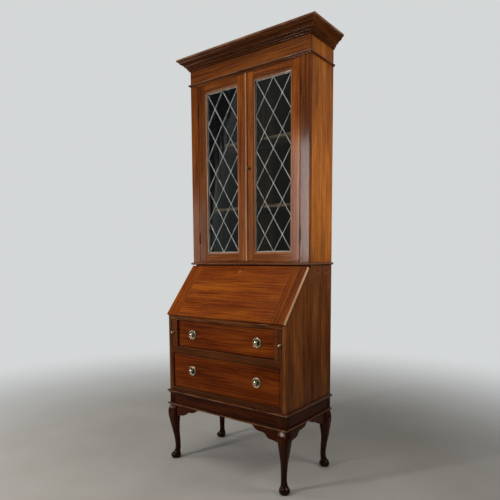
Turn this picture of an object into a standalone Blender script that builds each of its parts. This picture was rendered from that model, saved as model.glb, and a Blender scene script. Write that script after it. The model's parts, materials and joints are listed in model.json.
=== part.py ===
# Oak bureau bookcase: a glazed two-door bookcase over a fall-front bureau on a cabriole stand.
# Metres, +Z up, +X to the right seen from the front, the front faces -Y.
# The origin is on the floor under the centre of the object's box.

import math

import bmesh
import bpy
from mathutils import Matrix, Vector

# ---- clearances ----
TOUCH = 0.0003          # between pieces that touch
DRAWER_PLAY = 0.0015    # round a drawer front
SLIDE_PLAY = 0.001      # round a loper
DOOR_PLAY = 0.002       # round and between the doors
FALL_PLAY = 0.0005      # behind the fall

# ---- case ----
CASE_WIDTH = 0.714
CASE_DEPTH = 0.4065
BOOKCASE_DEPTH = 0.216
BOARD = 0.018           # sides, tops and bottoms
PANEL = 0.008           # back panels
EDGE = 0.0012           # softened arris of a board

# ---- stand ----
STAND_HEIGHT = 0.355
RAIL_HEIGHT = 0.065
RAIL_THICKNESS = 0.022
POST = 0.040
BRACKET_GAP = 0.0018    # between a bracket or apron and the leg's knee
BEAD_HEIGHT = 0.010
BEAD_REACH = 0.0103
BASE_HEIGHT = 0.017
BASE_REACH = 0.0113
BASE_LAP = 0.002        # how far the base moulding reaches down over the stand

# ---- bureau, from its foot upwards ----
BOTTOM_RAIL = 0.0325
LOWER_OPENING = 0.178
MID_RAIL = 0.034
DUST_BOARD = 0.012
UPPER_OPENING = 0.1347
BED = 0.016
SLOPE_RISE = 0.2575     # from the writing bed to the top of the bureau
OVERHANG = 0.0202       # of the bookcase's front over the top of the slope
FACING = 0.011          # strip beside the lower drawer
FACING_DEPTH = 0.020
DIVIDER = 0.020
LOPER = 0.020

# ---- drawers and lopers ----
FRONT_THICKNESS = 0.020
UPPER_RECESS = 0.010
LOWER_RECESS = 0.004
LOPER_RECESS = 0.002
BOX_WALL = 0.010
BOX_BOTTOM = 0.006
BOX_SIDE_PLAY = 0.006
BOX_HEADROOM = 0.020
BACK_ROOM = 0.025       # behind drawer boxes and lopers

# ---- fall ----
FALL = 0.017
FALL_TOP_GAP = 0.0038   # between the closed fall's top corner and the top's height
FALL_MARGIN = 0.0005    # fall's end inside the side's outer face
CLAMP = 0.075
HINGE_WIDTH = 0.060
HINGE_INSET = 0.085
BARREL = 0.0032
LEAF_LENGTH = 0.026
LEAF = 0.0018
LOCK_WIDTH = 0.066
LOCK_LENGTH = 0.036
LOCK_DEPTH = 0.009

# ---- writing interior ----
PIGEON_WALL = 0.007
PIGEON_BACK = 0.005
PIGEON_SET_BACK = 0.008
SMALL_DRAWER_HEIGHT = 0.052
LETTER_HOLES = 6
SMALL_FRONT = 0.009
SMALL_WALL = 0.005

# ---- bookcase ----
BOOKCASE_HEIGHT = 1.052
FRAME_DEPTH = 0.020
PILASTER = 0.048
FRAME_LIP = 0.0         # of the face frame's foot rail above the bottom board
FRAME_HEAD = 0.0145
FRIEZE_HEIGHT = 0.1247
CORNICE_HEIGHT = 0.0555
CORNICE_REACH = 0.0516
WAIST_HEIGHT = 0.012
WAIST_REACH = 0.0106
ASTRAGAL_HEIGHT = 0.0105
ASTRAGAL_REACH = 0.0094
SHELF = 0.016
LOWER_SHELF = 0.275     # shelf tops above the bookcase bottom
UPPER_SHELF = 0.598
SHELF_SET_BACK = 0.030

# ---- doors ----
DOOR = 0.022
STILE = 0.044
DOOR_RAIL = 0.035
SIGHT_MOULDING = 0.009  # sloping moulding round the glass
SIGHT_DEPTH = 0.008
REBATE = 0.006
REBATE_DEPTH = 0.013
PIVOT_REACH = 0.0035    # hinge pin in front of the door's face
PIVOT_INSET = 0.0006
CAME_DEPTH = 0.0045
GLASS = 0.0025
CAME = 0.006
BORDER_CAME = 0.009
DIAMONDS_ACROSS = 2
DIAMONDS_HIGH = 5
MEETING_BEAD = 0.0115
MEETING_REACH = 0.006

# ---- brass ----
HANDLE_SPREAD = 0.397   # between the two handles of a drawer
UPPER_HANDLE_RISE = -0.002
LOWER_HANDLE_RISE = 0.007
DOOR_KNOB_X = 0.024
DOOR_KNOB_HEIGHT = 0.4655

HANDLE_PROFILE = (
    (0.0240, 0.0000), (0.0240, 0.0020), (0.0230, 0.0046), (0.0212, 0.0056),
    (0.0196, 0.0046), (0.0185, 0.0024), (0.0100, 0.0016), (0.0060, 0.0026),
    (0.0050, 0.0052), (0.0064, 0.0080), (0.0088, 0.0104), (0.0094, 0.0130),
    (0.0080, 0.0156), (0.0045, 0.0172), (0.0000, 0.0178),
)
KNOB_PROFILE = (
    (0.0070, 0.0000), (0.0070, 0.0012), (0.0042, 0.0024), (0.0034, 0.0050),
    (0.0052, 0.0070), (0.0064, 0.0094), (0.0058, 0.0118), (0.0034, 0.0132),
    (0.0000, 0.0138),
)
SMALL_KNOB_PROFILE = (
    (0.0046, -0.0010), (0.0046, 0.0014), (0.0034, 0.0030), (0.0050, 0.0054),
    (0.0058, 0.0080), (0.0040, 0.0104), (0.0000, 0.0112),
)

# ---- derived places ----
HALF = CASE_WIDTH / 2
INNER = HALF - BOARD
HANDLE_REACH = max(out for _, out in HANDLE_PROFILE)
FRONT_REACH = HANDLE_REACH + TOUCH - LOWER_RECESS
BACK_Y = (CASE_DEPTH + FRONT_REACH) / 2
FRONT_Y = BACK_Y - CASE_DEPTH
PANEL_Y = BACK_Y - PANEL - TOUCH

CASE_FOOT = STAND_HEIGHT + TOUCH
RAIL_FOOT = STAND_HEIGHT - RAIL_HEIGHT
LOWER_FLOOR = CASE_FOOT + BOTTOM_RAIL
LOWER_CEILING = LOWER_FLOOR + LOWER_OPENING
UPPER_FLOOR = LOWER_CEILING + MID_RAIL
UPPER_CEILING = UPPER_FLOOR + UPPER_OPENING
BED_Z = UPPER_CEILING + BED
TOP_Z = BED_Z + SLOPE_RISE
TOP_FOOT = TOP_Z - BOARD
SLOPE = math.atan2(SLOPE_RISE, CASE_DEPTH - BOOKCASE_DEPTH + OVERHANG)
FALL_RISE = SLOPE_RISE - FALL_TOP_GAP - (FALL_PLAY + FALL) * math.cos(SLOPE)
FALL_LENGTH = FALL_RISE / math.sin(SLOPE)

BOOKCASE_FOOT = TOP_Z + TOUCH
CROWN_Z = TOP_Z + BOOKCASE_HEIGHT
BOOKCASE_Y = BACK_Y - BOOKCASE_DEPTH
FRAME_BACK_Y = BOOKCASE_Y + FRAME_DEPTH
FRAME_TOP = CROWN_Z - FRIEZE_HEIGHT
DOORWAY = HALF - PILASTER
DOORWAY_FOOT = BOOKCASE_FOOT + BOARD + FRAME_LIP
DOORWAY_HEAD = FRAME_TOP - FRAME_HEAD
DOOR_FOOT = DOORWAY_FOOT + DOOR_PLAY
DOOR_HEAD = DOORWAY_HEAD - DOOR_PLAY
DOOR_OUTER = DOORWAY - DOOR_PLAY * 0.75
DOOR_INNER = DOOR_PLAY / 2
PIVOT_X = DOORWAY - PIVOT_INSET
PIVOT_Y = BOOKCASE_Y - PIVOT_REACH

LOPER_OUTER = INNER - SLIDE_PLAY
LOPER_INNER = LOPER_OUTER - LOPER
DIVIDER_OUTER = LOPER_INNER - SLIDE_PLAY
DIVIDER_INNER = DIVIDER_OUTER - DIVIDER
LOWER_SIDE = INNER - FACING
FALL_HALF = HALF - FALL_MARGIN
SIDES = (("left", -1), ("right", 1))


def clear_scene():
    for thing in list(bpy.data.objects):
        bpy.data.objects.remove(thing, do_unlink=True)


def material(name, colour, roughness, metallic=0.0):
    made = bpy.data.materials.new(name)
    made.use_nodes = True
    shader = made.node_tree.nodes["Principled BSDF"]
    shader.inputs["Base Color"].default_value = (*colour, 1.0)
    shader.inputs["Roughness"].default_value = roughness
    shader.inputs["Metallic"].default_value = metallic
    return made


# ---- making objects ----
def empty(name, location):
    """An empty on a joint's axis, the parent of what moves with it."""
    mover = bpy.data.objects.new(name, None)
    mover.location = location
    mover.empty_display_size = 0.05
    bpy.context.collection.objects.link(mover)
    return mover


def finish(name, bm, surface, mover=None):
    """Turns a bmesh in world coordinates into an object, under its mover where it has one."""
    bmesh.ops.recalc_face_normals(bm, faces=bm.faces)
    mesh = bpy.data.meshes.new(name)
    bm.to_mesh(mesh)
    bm.free()
    made = bpy.data.objects.new(name, mesh)
    bpy.context.collection.objects.link(made)
    if surface:
        mesh.materials.append(surface)
    if mover:
        made.parent = mover
        made.matrix_parent_inverse = Matrix.Translation(mover.location).inverted()
    return made


def soften(made, width=EDGE, segments=1):
    bevel = made.modifiers.new("soft_edges", "BEVEL")
    bevel.width = width
    bevel.segments = segments
    bevel.limit_method = "ANGLE"
    return made


def smooth(made, degrees=35):
    made.data.shade_smooth()
    made.data.set_sharp_from_angle(angle=math.radians(degrees))
    return made


def hide_cutter(cutter):
    cutter.hide_render = True
    cutter.display_type = "WIRE"
    return cutter


def combine(made, other, operation):
    """A Boolean of a piece with a hidden helper."""
    hide_cutter(other)
    boolean = made.modifiers.new(operation.lower(), "BOOLEAN")
    boolean.operation = operation
    boolean.solver = "EXACT"
    boolean.object = other
    return made


def add_box(bm, x, y, z):
    made = bmesh.ops.create_cube(bm, size=1.0)
    size = Vector((x[1] - x[0], y[1] - y[0], z[1] - z[0]))
    centre = Vector((sum(x), sum(y), sum(z))) / 2
    bmesh.ops.scale(bm, vec=size, verts=made["verts"])
    bmesh.ops.translate(bm, vec=centre, verts=made["verts"])


def add_prism(bm, rims):
    """A solid between two outlines that match point for point."""
    lower, upper = ([bm.verts.new(point) for point in rim] for rim in rims)
    bm.faces.new(lower)
    bm.faces.new(upper)
    for i in range(len(lower)):
        j = (i + 1) % len(lower)
        bm.faces.new((lower[i], lower[j], upper[j], upper[i]))


def span(side, inner, outer):
    """The x range between two distances from the middle, on the left (-1) or the right (1)."""
    return tuple(sorted((side * inner, side * outer)))


def board(name, x, y, z, surface, mover=None, edge=EDGE):
    bm = bmesh.new()
    add_box(bm, x, y, z)
    made = finish(name, bm, surface, mover)
    return soften(made, edge) if edge else made


def boxes(name, ranges):
    """A helper of separate boxes, for cutting."""
    bm = bmesh.new()
    for x, y, z in ranges:
        add_box(bm, x, y, z)
    return hide_cutter(finish(name, bm, None))


def along_x(name, outline, x, surface, mover=None, edge=EDGE):
    """An outline of (y, z) points, extruded over the x range."""
    bm = bmesh.new()
    add_prism(bm, [[(end, *point) for point in outline] for end in x])
    made = finish(name, bm, surface, mover)
    return soften(made, edge) if edge else made


def along_y(name, outline, y, surface, mover=None, edge=EDGE):
    """An outline of (x, z) points, extruded over the y range."""
    bm = bmesh.new()
    add_prism(bm, [[(px, end, pz) for px, pz in outline] for end in y])
    made = finish(name, bm, surface, mover)
    return soften(made, edge) if edge else made


def turned(name, profile, place, surface, mover=None, steps=20):
    """A turned piece of (radius, height) points, standing out of the front at a place."""
    bm = bmesh.new()
    rings = []
    for radius, out in profile:
        ring = []
        for i in range(steps if radius else 1):
            angle = 2 * math.pi * i / steps
            offset = Vector((radius * math.cos(angle), -out, radius * math.sin(angle)))
            ring.append(bm.verts.new(Vector(place) + offset))
        rings.append(ring)
    bm.faces.new(rings[0])
    for low, high in zip(rings, rings[1:]):
        for i in range(steps):
            j = (i + 1) % steps
            tip = [high[0]] if len(high) == 1 else [high[j], high[i]]
            bm.faces.new([low[i], low[j], *tip])
    return smooth(finish(name, bm, surface, mover))


def round_case(name, profile, front_y, foot, surface):
    """A moulding mitred round the front and the two sides, of (distance out, height) points."""
    bm = bmesh.new()
    stations = (
        lambda out: (-HALF - out, BACK_Y),
        lambda out: (-HALF - out, front_y - out),
        lambda out: (HALF + out, front_y - out),
        lambda out: (HALF + out, BACK_Y),
    )
    rings = [
        [bm.verts.new((*station(out), foot + height)) for out, height in profile]
        for station in stations
    ]
    for near, far in zip(rings, rings[1:]):
        for i in range(len(profile)):
            j = (i + 1) % len(profile)
            bm.faces.new((near[i], near[j], far[j], far[i]))
    bm.faces.new(rings[0])
    bm.faces.new(rings[-1])
    return smooth(finish(name, bm, surface), 25)


def arc(centre, radius, start, end, steps):
    """Points on an arc, for an outline; angles in degrees from the first axis."""
    angles = [math.radians(start + (end - start) * i / steps) for i in range(steps + 1)]
    return [
        (centre[0] + radius * math.cos(a), centre[1] + radius * math.sin(a))
        for a in angles
    ]


def smooth_line(points, steps=3):
    """A Catmull-Rom curve through the points."""
    padded = [points[0], *points, points[-1]]
    line = []
    for a, b, c, d in zip(padded, padded[1:], padded[2:], padded[3:]):
        for i in range(steps):
            t = i / steps
            line.append(tuple(
                0.5 * (2 * q + (r - p) * t + (2 * p - 5 * q + 4 * r - s) * t * t
                       + (3 * q - p - 3 * r + s) * t ** 3)
                for p, q, r, s in zip(a, b, c, d)
            ))
    line.append(points[-1])
    return line


# ---- stand ----
# Each section: height as a share of the leg below the rail, the centre's distance inwards
# from the case's corner along X and Y, half the section's side, and how round its corners are.
LEG_SECTIONS = (
    (0.000, 0.0165, 0.0205, 1.00), (0.014, 0.0163, 0.0235, 1.00),
    (0.048, 0.0160, 0.0255, 1.00), (0.083, 0.0175, 0.0225, 1.00),
    (0.117, 0.0205, 0.0170, 1.00), (0.166, 0.0235, 0.0148, 1.00),
    (0.224, 0.0245, 0.0138, 1.00), (0.345, 0.0228, 0.0145, 0.95),
    (0.490, 0.0190, 0.0170, 0.85), (0.617, 0.0160, 0.0205, 0.70),
    (0.717, 0.0145, 0.0235, 0.55), (0.814, 0.0135, 0.0258, 0.42),
    (0.903, 0.0150, 0.0260, 0.30), (0.966, 0.0185, 0.0220, 0.15),
)
LEG_CORNER_STEPS = 4
KNEE_REACH = max(POST, *(inset + half for _, inset, half, _ in LEG_SECTIONS))
BACK_KNEE_REACH = max(POST, *(max(inset, half) + half for _, inset, half, _ in LEG_SECTIONS))


def rounded_square(half, roundness):
    """Points round a square whose corners are rounded, counted from its centre."""
    radius = half * roundness
    centre = half - radius
    points = []
    for quarter, (sx, sy) in enumerate(((1, 1), (-1, 1), (-1, -1), (1, -1))):
        corner = (sx * centre, sy * centre)
        points += arc(corner, radius, 90 * quarter, 90 * quarter + 90, LEG_CORNER_STEPS)
    return points


def leg(name, side, end, surface):
    """A cabriole leg in one piece with its post. end is -1 at the front and 1 at the back."""
    corner_y = FRONT_Y if end < 0 else BACK_Y
    post = POST / 2
    sections = [(share * RAIL_FOOT, *rest) for share, *rest in LEG_SECTIONS]
    sections += [(RAIL_FOOT, post, post, 0.06), (STAND_HEIGHT, post, post, 0.06)]
    bm = bmesh.new()
    rings = []
    for z, inset, half, roundness in sections:
        # A back leg stays flat at the back, so that the desk stands against a wall.
        inset_y = inset if end < 0 else max(inset, half)
        centre = (side * (HALF - inset), corner_y - end * inset_y)
        rings.append([
            bm.verts.new((centre[0] + px, centre[1] + py, z))
            for px, py in rounded_square(half, roundness)
        ])
    for low, high in zip(rings, rings[1:]):
        for i in range(len(low)):
            j = (i + 1) % len(low)
            bm.faces.new((low[i], low[j], high[j], high[i]))
    bm.faces.new(rings[0])
    bm.faces.new(rings[-1])
    return smooth(finish(name, bm, surface), 40)


# The stepped lower edge of a bracket: distance from the leg and depth below the rail.
BRACKET_EDGE = (
    (0.000, 0.0575), (0.022, 0.0530), (0.046, 0.0500), (0.058, 0.0440),
    (0.068, 0.0310), (0.080, 0.0270), (0.104, 0.0255), (0.122, 0.0210),
    (0.134, 0.0090),
)
BRACKET_TIP = (0.145, 0.0030)


def bracket_edge():
    return smooth_line(BRACKET_EDGE) + [BRACKET_TIP]


def stand(wood, dark_wood):
    for side_name, side in SIDES:
        for end_name, end in (("front", -1), ("back", 1)):
            leg(f"leg_{end_name}_{side_name}", side, end, dark_wood)

    between = HALF - POST - TOUCH
    rail_z = (RAIL_FOOT + TOUCH, STAND_HEIGHT)
    board("stand_rail_front", (-between, between),
          (FRONT_Y, FRONT_Y + RAIL_THICKNESS), rail_z, wood)
    board("stand_rail_back", (-between, between),
          (BACK_Y - RAIL_THICKNESS, BACK_Y), rail_z, wood)

    knee = KNEE_REACH + BRACKET_GAP
    back_knee = BACK_KNEE_REACH + BRACKET_GAP
    for side_name, side in SIDES:
        outline = [(side * (HALF - knee - run), RAIL_FOOT - drop)
                   for run, drop in bracket_edge()]
        tip_x = side * (HALF - knee - BRACKET_TIP[0])
        outline += [(tip_x, RAIL_FOOT), (side * (HALF - knee), RAIL_FOOT)]
        along_y(f"knee_bracket_{side_name}", outline,
                (FRONT_Y + TOUCH, FRONT_Y + RAIL_THICKNESS), dark_wood)

        front_edge = [(FRONT_Y + knee + run, RAIL_FOOT - drop)
                      for run, drop in bracket_edge()]
        back_edge = [(BACK_Y - back_knee - run, RAIL_FOOT - drop)
                     for run, drop in bracket_edge()]
        post_front = FRONT_Y + POST + TOUCH
        post_back = BACK_Y - POST - TOUCH
        outline = front_edge + back_edge[::-1]
        outline = outline[::-1]
        outline += [(FRONT_Y + knee, rail_z[0]), (post_front, rail_z[0])]
        outline += [(post_front, STAND_HEIGHT), (post_back, STAND_HEIGHT)]
        outline += [(post_back, rail_z[0]), (BACK_Y - back_knee, rail_z[0])]
        along_x(f"stand_rail_{side_name}", outline,
                span(side, HALF - RAIL_THICKNESS, HALF), wood)

    half_bead = BEAD_HEIGHT / 2
    bead = [(TOUCH, 0.0), *arc((BEAD_REACH - half_bead, half_bead), half_bead, -90, 90, 6),
            (TOUCH, BEAD_HEIGHT)]
    round_case("stand_bead", bead, FRONT_Y, RAIL_FOOT, dark_wood)

    nose = BASE_HEIGHT * 0.30
    base = [(TOUCH, 0.0), (BASE_REACH * 0.35, 0.0), (BASE_REACH * 0.50, BASE_HEIGHT * 0.20),
            *arc((BASE_REACH - nose, BASE_HEIGHT * 0.55), nose, -80, 90, 6),
            (BASE_REACH * 0.35, BASE_HEIGHT * 0.86), (TOUCH, BASE_HEIGHT)]
    round_case("base_moulding", base, FRONT_Y, STAND_HEIGHT - BASE_LAP, dark_wood)


# ---- bureau ----
def slope_point(run, out):
    """(y, z) of a point up the slope from the fall's hinge and out from the sides' edge."""
    return (
        FRONT_Y + run * math.cos(SLOPE) - out * math.sin(SLOPE),
        BED_Z + run * math.sin(SLOPE) + out * math.cos(SLOPE),
    )


def slope_y(z):
    """Where the slope of the sides is at a height."""
    return FRONT_Y + (z - BED_Z) / math.tan(SLOPE)


def bureau_case(wood, inside_wood):
    outline = [(BACK_Y, CASE_FOOT), (FRONT_Y, CASE_FOOT), (FRONT_Y, BED_Z),
               (slope_y(TOP_Z), TOP_Z), (BACK_Y, TOP_Z)]
    for side_name, side in SIDES:
        made = along_x(f"bureau_side_{side_name}", outline, span(side, INNER, HALF), wood)
        strip = boxes(f"facing_strip_{side_name}", [(
            span(side, LOWER_SIDE, INNER + BOARD / 2),
            (FRONT_Y + EDGE, FRONT_Y + FACING_DEPTH),
            (LOWER_FLOOR + TOUCH, LOWER_CEILING - TOUCH),
        )])
        combine(made, strip, "UNION")

    inside = (-INNER + TOUCH, INNER - TOUCH)
    rail_back = FRONT_Y + RAIL_THICKNESS
    bottom = [(FRONT_Y, CASE_FOOT), (rail_back, CASE_FOOT), (rail_back, LOWER_FLOOR - BOARD),
              (PANEL_Y, LOWER_FLOOR - BOARD), (PANEL_Y, LOWER_FLOOR), (FRONT_Y, LOWER_FLOOR)]
    along_x("bureau_bottom", bottom, inside, wood)

    dust_foot = UPPER_FLOOR - DUST_BOARD
    divider = [(FRONT_Y, LOWER_CEILING), (rail_back, LOWER_CEILING), (rail_back, dust_foot),
               (PANEL_Y, dust_foot), (PANEL_Y, UPPER_FLOOR), (FRONT_Y, UPPER_FLOOR)]
    along_x("drawer_rail", divider, inside, wood)

    bed = board("writing_bed", inside, (FRONT_Y, PANEL_Y), (UPPER_CEILING, BED_Z), wood)
    seat = hinge_seat(lambda run, depth: (FRONT_Y + run, BED_Z - depth), LEAF + 2 * TOUCH)
    combine(bed, hinge_cutter("bed_hinge_seats", seat), "DIFFERENCE")

    top = [(slope_y(TOP_FOOT), TOP_FOOT), (PANEL_Y, TOP_FOOT), (PANEL_Y, TOP_Z),
           (slope_y(TOP_Z), TOP_Z)]
    along_x("bureau_top", top, inside, wood)
    board("bureau_back", inside, (PANEL_Y + TOUCH, BACK_Y), (CASE_FOOT, TOP_Z), inside_wood)

    for side_name, side in SIDES:
        board(f"loper_divider_{side_name}", span(side, DIVIDER_INNER, DIVIDER_OUTER),
              (FRONT_Y + TOUCH, PANEL_Y - TOUCH),
              (UPPER_FLOOR + TOUCH, UPPER_CEILING - TOUCH), wood)


def lopers(wood, brass):
    # The open fall lies on the lopers, so their tops are just under its outer face.
    top = min(BED_Z - FALL_PLAY - FALL, UPPER_CEILING) - 0.0005
    for side_name, side in SIDES:
        x = span(side, LOPER_INNER, LOPER_OUTER)
        front = FRONT_Y + LOPER_RECESS
        z = (UPPER_FLOOR + SLIDE_PLAY, top)
        middle = (sum(x) / 2, front, sum(z) / 2)
        mover = empty(f"loper_slide_{side_name}", middle)
        board(f"loper_{side_name}", x, (front, PANEL_Y - BACK_ROOM), z, wood, mover)
        place = (middle[0], front - TOUCH, middle[2])
        turned(f"loper_knob_{side_name}", KNOB_PROFILE, place, brass, mover, 16)


def drawer(name, half_width, floor, ceiling, recess, handle_rise, wood, inside_wood, brass):
    """A drawer between its floor and ceiling, with a box behind the front and two handles."""
    front_y = FRONT_Y + recess
    joint_y = front_y + FRONT_THICKNESS
    middle_z = (floor + ceiling) / 2
    mover = empty(f"{name}_slide", (0.0, front_y, middle_z))
    x = half_width - DRAWER_PLAY
    board(f"{name}_front", (-x, x), (front_y, joint_y),
          (floor + DRAWER_PLAY, ceiling - DRAWER_PLAY), wood, mover)

    box_x = half_width - BOX_SIDE_PLAY
    box_y = (joint_y + TOUCH, PANEL_Y - BACK_ROOM)
    box_z = (floor + DRAWER_PLAY, ceiling - BOX_HEADROOM)
    box = board(f"{name}_box", (-box_x, box_x), box_y, box_z, inside_wood, mover, 0)
    hollow = boxes(f"{name}_hollow", [(
        (-box_x + BOX_WALL, box_x - BOX_WALL),
        (box_y[0] - BOX_WALL, box_y[1] - BOX_WALL),
        (box_z[0] + BOX_BOTTOM, box_z[1] + BOX_WALL),
    )])
    combine(box, hollow, "DIFFERENCE")
    for side_name, side in SIDES:
        place = (side * HANDLE_SPREAD / 2, front_y - TOUCH, middle_z + handle_rise)
        turned(f"{name}_handle_{side_name}", HANDLE_PROFILE, place, brass, mover)


# ---- fall ----
def hinge_ranges():
    for _, side in SIDES:
        yield span(side, FALL_HALF - HINGE_INSET - HINGE_WIDTH, FALL_HALF - HINGE_INSET)


def widened(x, by):
    return (x[0] - by, x[1] + by)


def hinge_seat(place, leaf_room):
    """Outline of the room for a hinge's barrel and one leaf. place(run, depth) gives (y, z)."""
    room = BARREL + 0.0007
    run = LEAF_LENGTH + TOUCH
    corners = ((-room, room), (room, room), (room, leaf_room), (run, leaf_room),
               (run, -room), (-room, -room))
    return [place(*corner) for corner in corners]


def hinge_cutter(name, outline):
    """The seats of both hinges, from one outline."""
    cutter = bmesh.new()
    for x in hinge_ranges():
        add_prism(cutter, [[(end, *point) for point in outline] for end in widened(x, TOUCH)])
    return finish(name, cutter, None)


def slope_outline(run, out):
    """A rectangle on the slope, from ranges up the slope and out from it."""
    return [slope_point(run[0], out[0]), slope_point(run[1], out[0]),
            slope_point(run[1], out[1]), slope_point(run[0], out[1])]


def fall_front(wood, brass):
    mover = empty("fall_hinge_axis", (0.0, FRONT_Y, BED_Z))
    run = (FALL_PLAY, FALL_LENGTH)
    out = (FALL_PLAY, FALL_PLAY + FALL)
    outline = slope_outline(run, out)
    clamp_x = FALL_HALF - CLAMP
    panel = along_x("fall_panel", outline, (-clamp_x, clamp_x), wood, mover)
    for side_name, side in SIDES:
        x = span(side, clamp_x + TOUCH, FALL_HALF)
        along_x(f"fall_clamp_{side_name}", outline, x, wood, mover)

    seat = hinge_seat(slope_point, FALL_PLAY + LEAF + TOUCH)
    combine(panel, hinge_cutter("fall_hinge_seats", seat), "DIFFERENCE")

    lock_x = (-LOCK_WIDTH / 2, LOCK_WIDTH / 2)
    lock_run = (FALL_LENGTH - LOCK_LENGTH, FALL_LENGTH)
    lock_out = (FALL_PLAY, FALL_PLAY + LOCK_DEPTH)
    along_x("fall_lock", slope_outline(lock_run, lock_out), lock_x, brass, mover, 0.0004)
    room_outline = slope_outline(
        (lock_run[0] - TOUCH, lock_run[1] + BOARD), (-BOARD, lock_out[1] + TOUCH))
    room_cutter = along_x("lock_mortise", room_outline, widened(lock_x, TOUCH), None, None, 0)
    combine(panel, room_cutter, "DIFFERENCE")

    for (side_name, _), x in zip(SIDES, hinge_ranges()):
        barrel = arc((FRONT_Y, BED_Z), BARREL, 0, 330, 11)
        hinge = along_x(f"fall_hinge_{side_name}", barrel, x, brass, None, 0)
        leaf = boxes(f"hinge_leaf_{side_name}", [(
            x, (FRONT_Y + BARREL * 0.4, FRONT_Y + LEAF_LENGTH),
            (BED_Z - LEAF - TOUCH, BED_Z - TOUCH))])
        combine(hinge, leaf, "UNION")


# ---- writing interior ----
def interior(wood):
    front = slope_y(TOP_FOOT) + PIGEON_SET_BACK
    back = PANEL_Y - TOUCH
    half = INNER - 2 * TOUCH
    foot = BED_Z + TOUCH
    head = TOP_FOOT - TOUCH
    case = board("pigeonholes", (-half, half), (front, back), (foot, head), wood, None, 0)

    drawer_foot = foot + PIGEON_WALL
    shelf_foot = drawer_foot + SMALL_DRAWER_HEIGHT
    holes_foot = shelf_foot + PIGEON_WALL
    deep = (front - PIGEON_WALL, back - PIGEON_BACK)

    def columns(count):
        width = (2 * half - (count + 1) * PIGEON_WALL) / count
        starts = [-half + PIGEON_WALL + i * (width + PIGEON_WALL) for i in range(count)]
        return [(start, start + width) for start in starts]

    lower = columns(3)
    cuts = [(x, deep, (drawer_foot, shelf_foot)) for x in lower]
    cuts += [(x, deep, (holes_foot, head - PIGEON_WALL)) for x in columns(LETTER_HOLES)]
    combine(case, boxes("pigeonhole_hollows", cuts), "DIFFERENCE")

    play = 0.0008
    for side_name, x in (("left", lower[0]), ("right", lower[-1])):
        x = (x[0] + play, x[1] - play)
        y = (front + play, deep[1] - 3 * play)
        z = (drawer_foot + play, shelf_foot - play)
        middle = (sum(x) / 2, y[0], sum(z) / 2)
        mover = empty(f"small_drawer_slide_{side_name}", middle)
        made = board(f"small_drawer_{side_name}", x, y, z, wood, mover, 0)
        hollow = boxes(f"small_drawer_hollow_{side_name}", [(
            (x[0] + SMALL_WALL, x[1] - SMALL_WALL),
            (y[0] + SMALL_FRONT, y[1] - SMALL_WALL),
            (z[0] + SMALL_WALL, z[1] + SMALL_WALL),
        )])
        combine(made, hollow, "DIFFERENCE")
        knob = turned(f"small_knob_{side_name}", SMALL_KNOB_PROFILE, middle, wood, None, 14)
        combine(made, knob, "UNION")


# ---- bookcase ----
def cornice_profile():
    """Two reeds, a fillet, an ogee and a top fillet, from the frieze outwards."""
    reed = 0.004
    return [
        (TOUCH, 0.0),
        *arc((0.0030, reed), reed, -90, 60, 4),
        *arc((0.0090, 3 * reed), reed, -80, 60, 4),
        (0.0150, 0.0165), (0.0150, 0.0200), (0.0215, 0.0200),
        *smooth_line([(0.0225, 0.0225), (0.0255, 0.0275), (0.0320, 0.0315),
                      (0.0390, 0.0360), (0.0435, 0.0430)], 2),
        (0.0455, 0.0445), (0.0455, 0.0465), (CORNICE_REACH, 0.0475),
        (CORNICE_REACH, CORNICE_HEIGHT), (TOUCH, CORNICE_HEIGHT),
    ]


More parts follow.
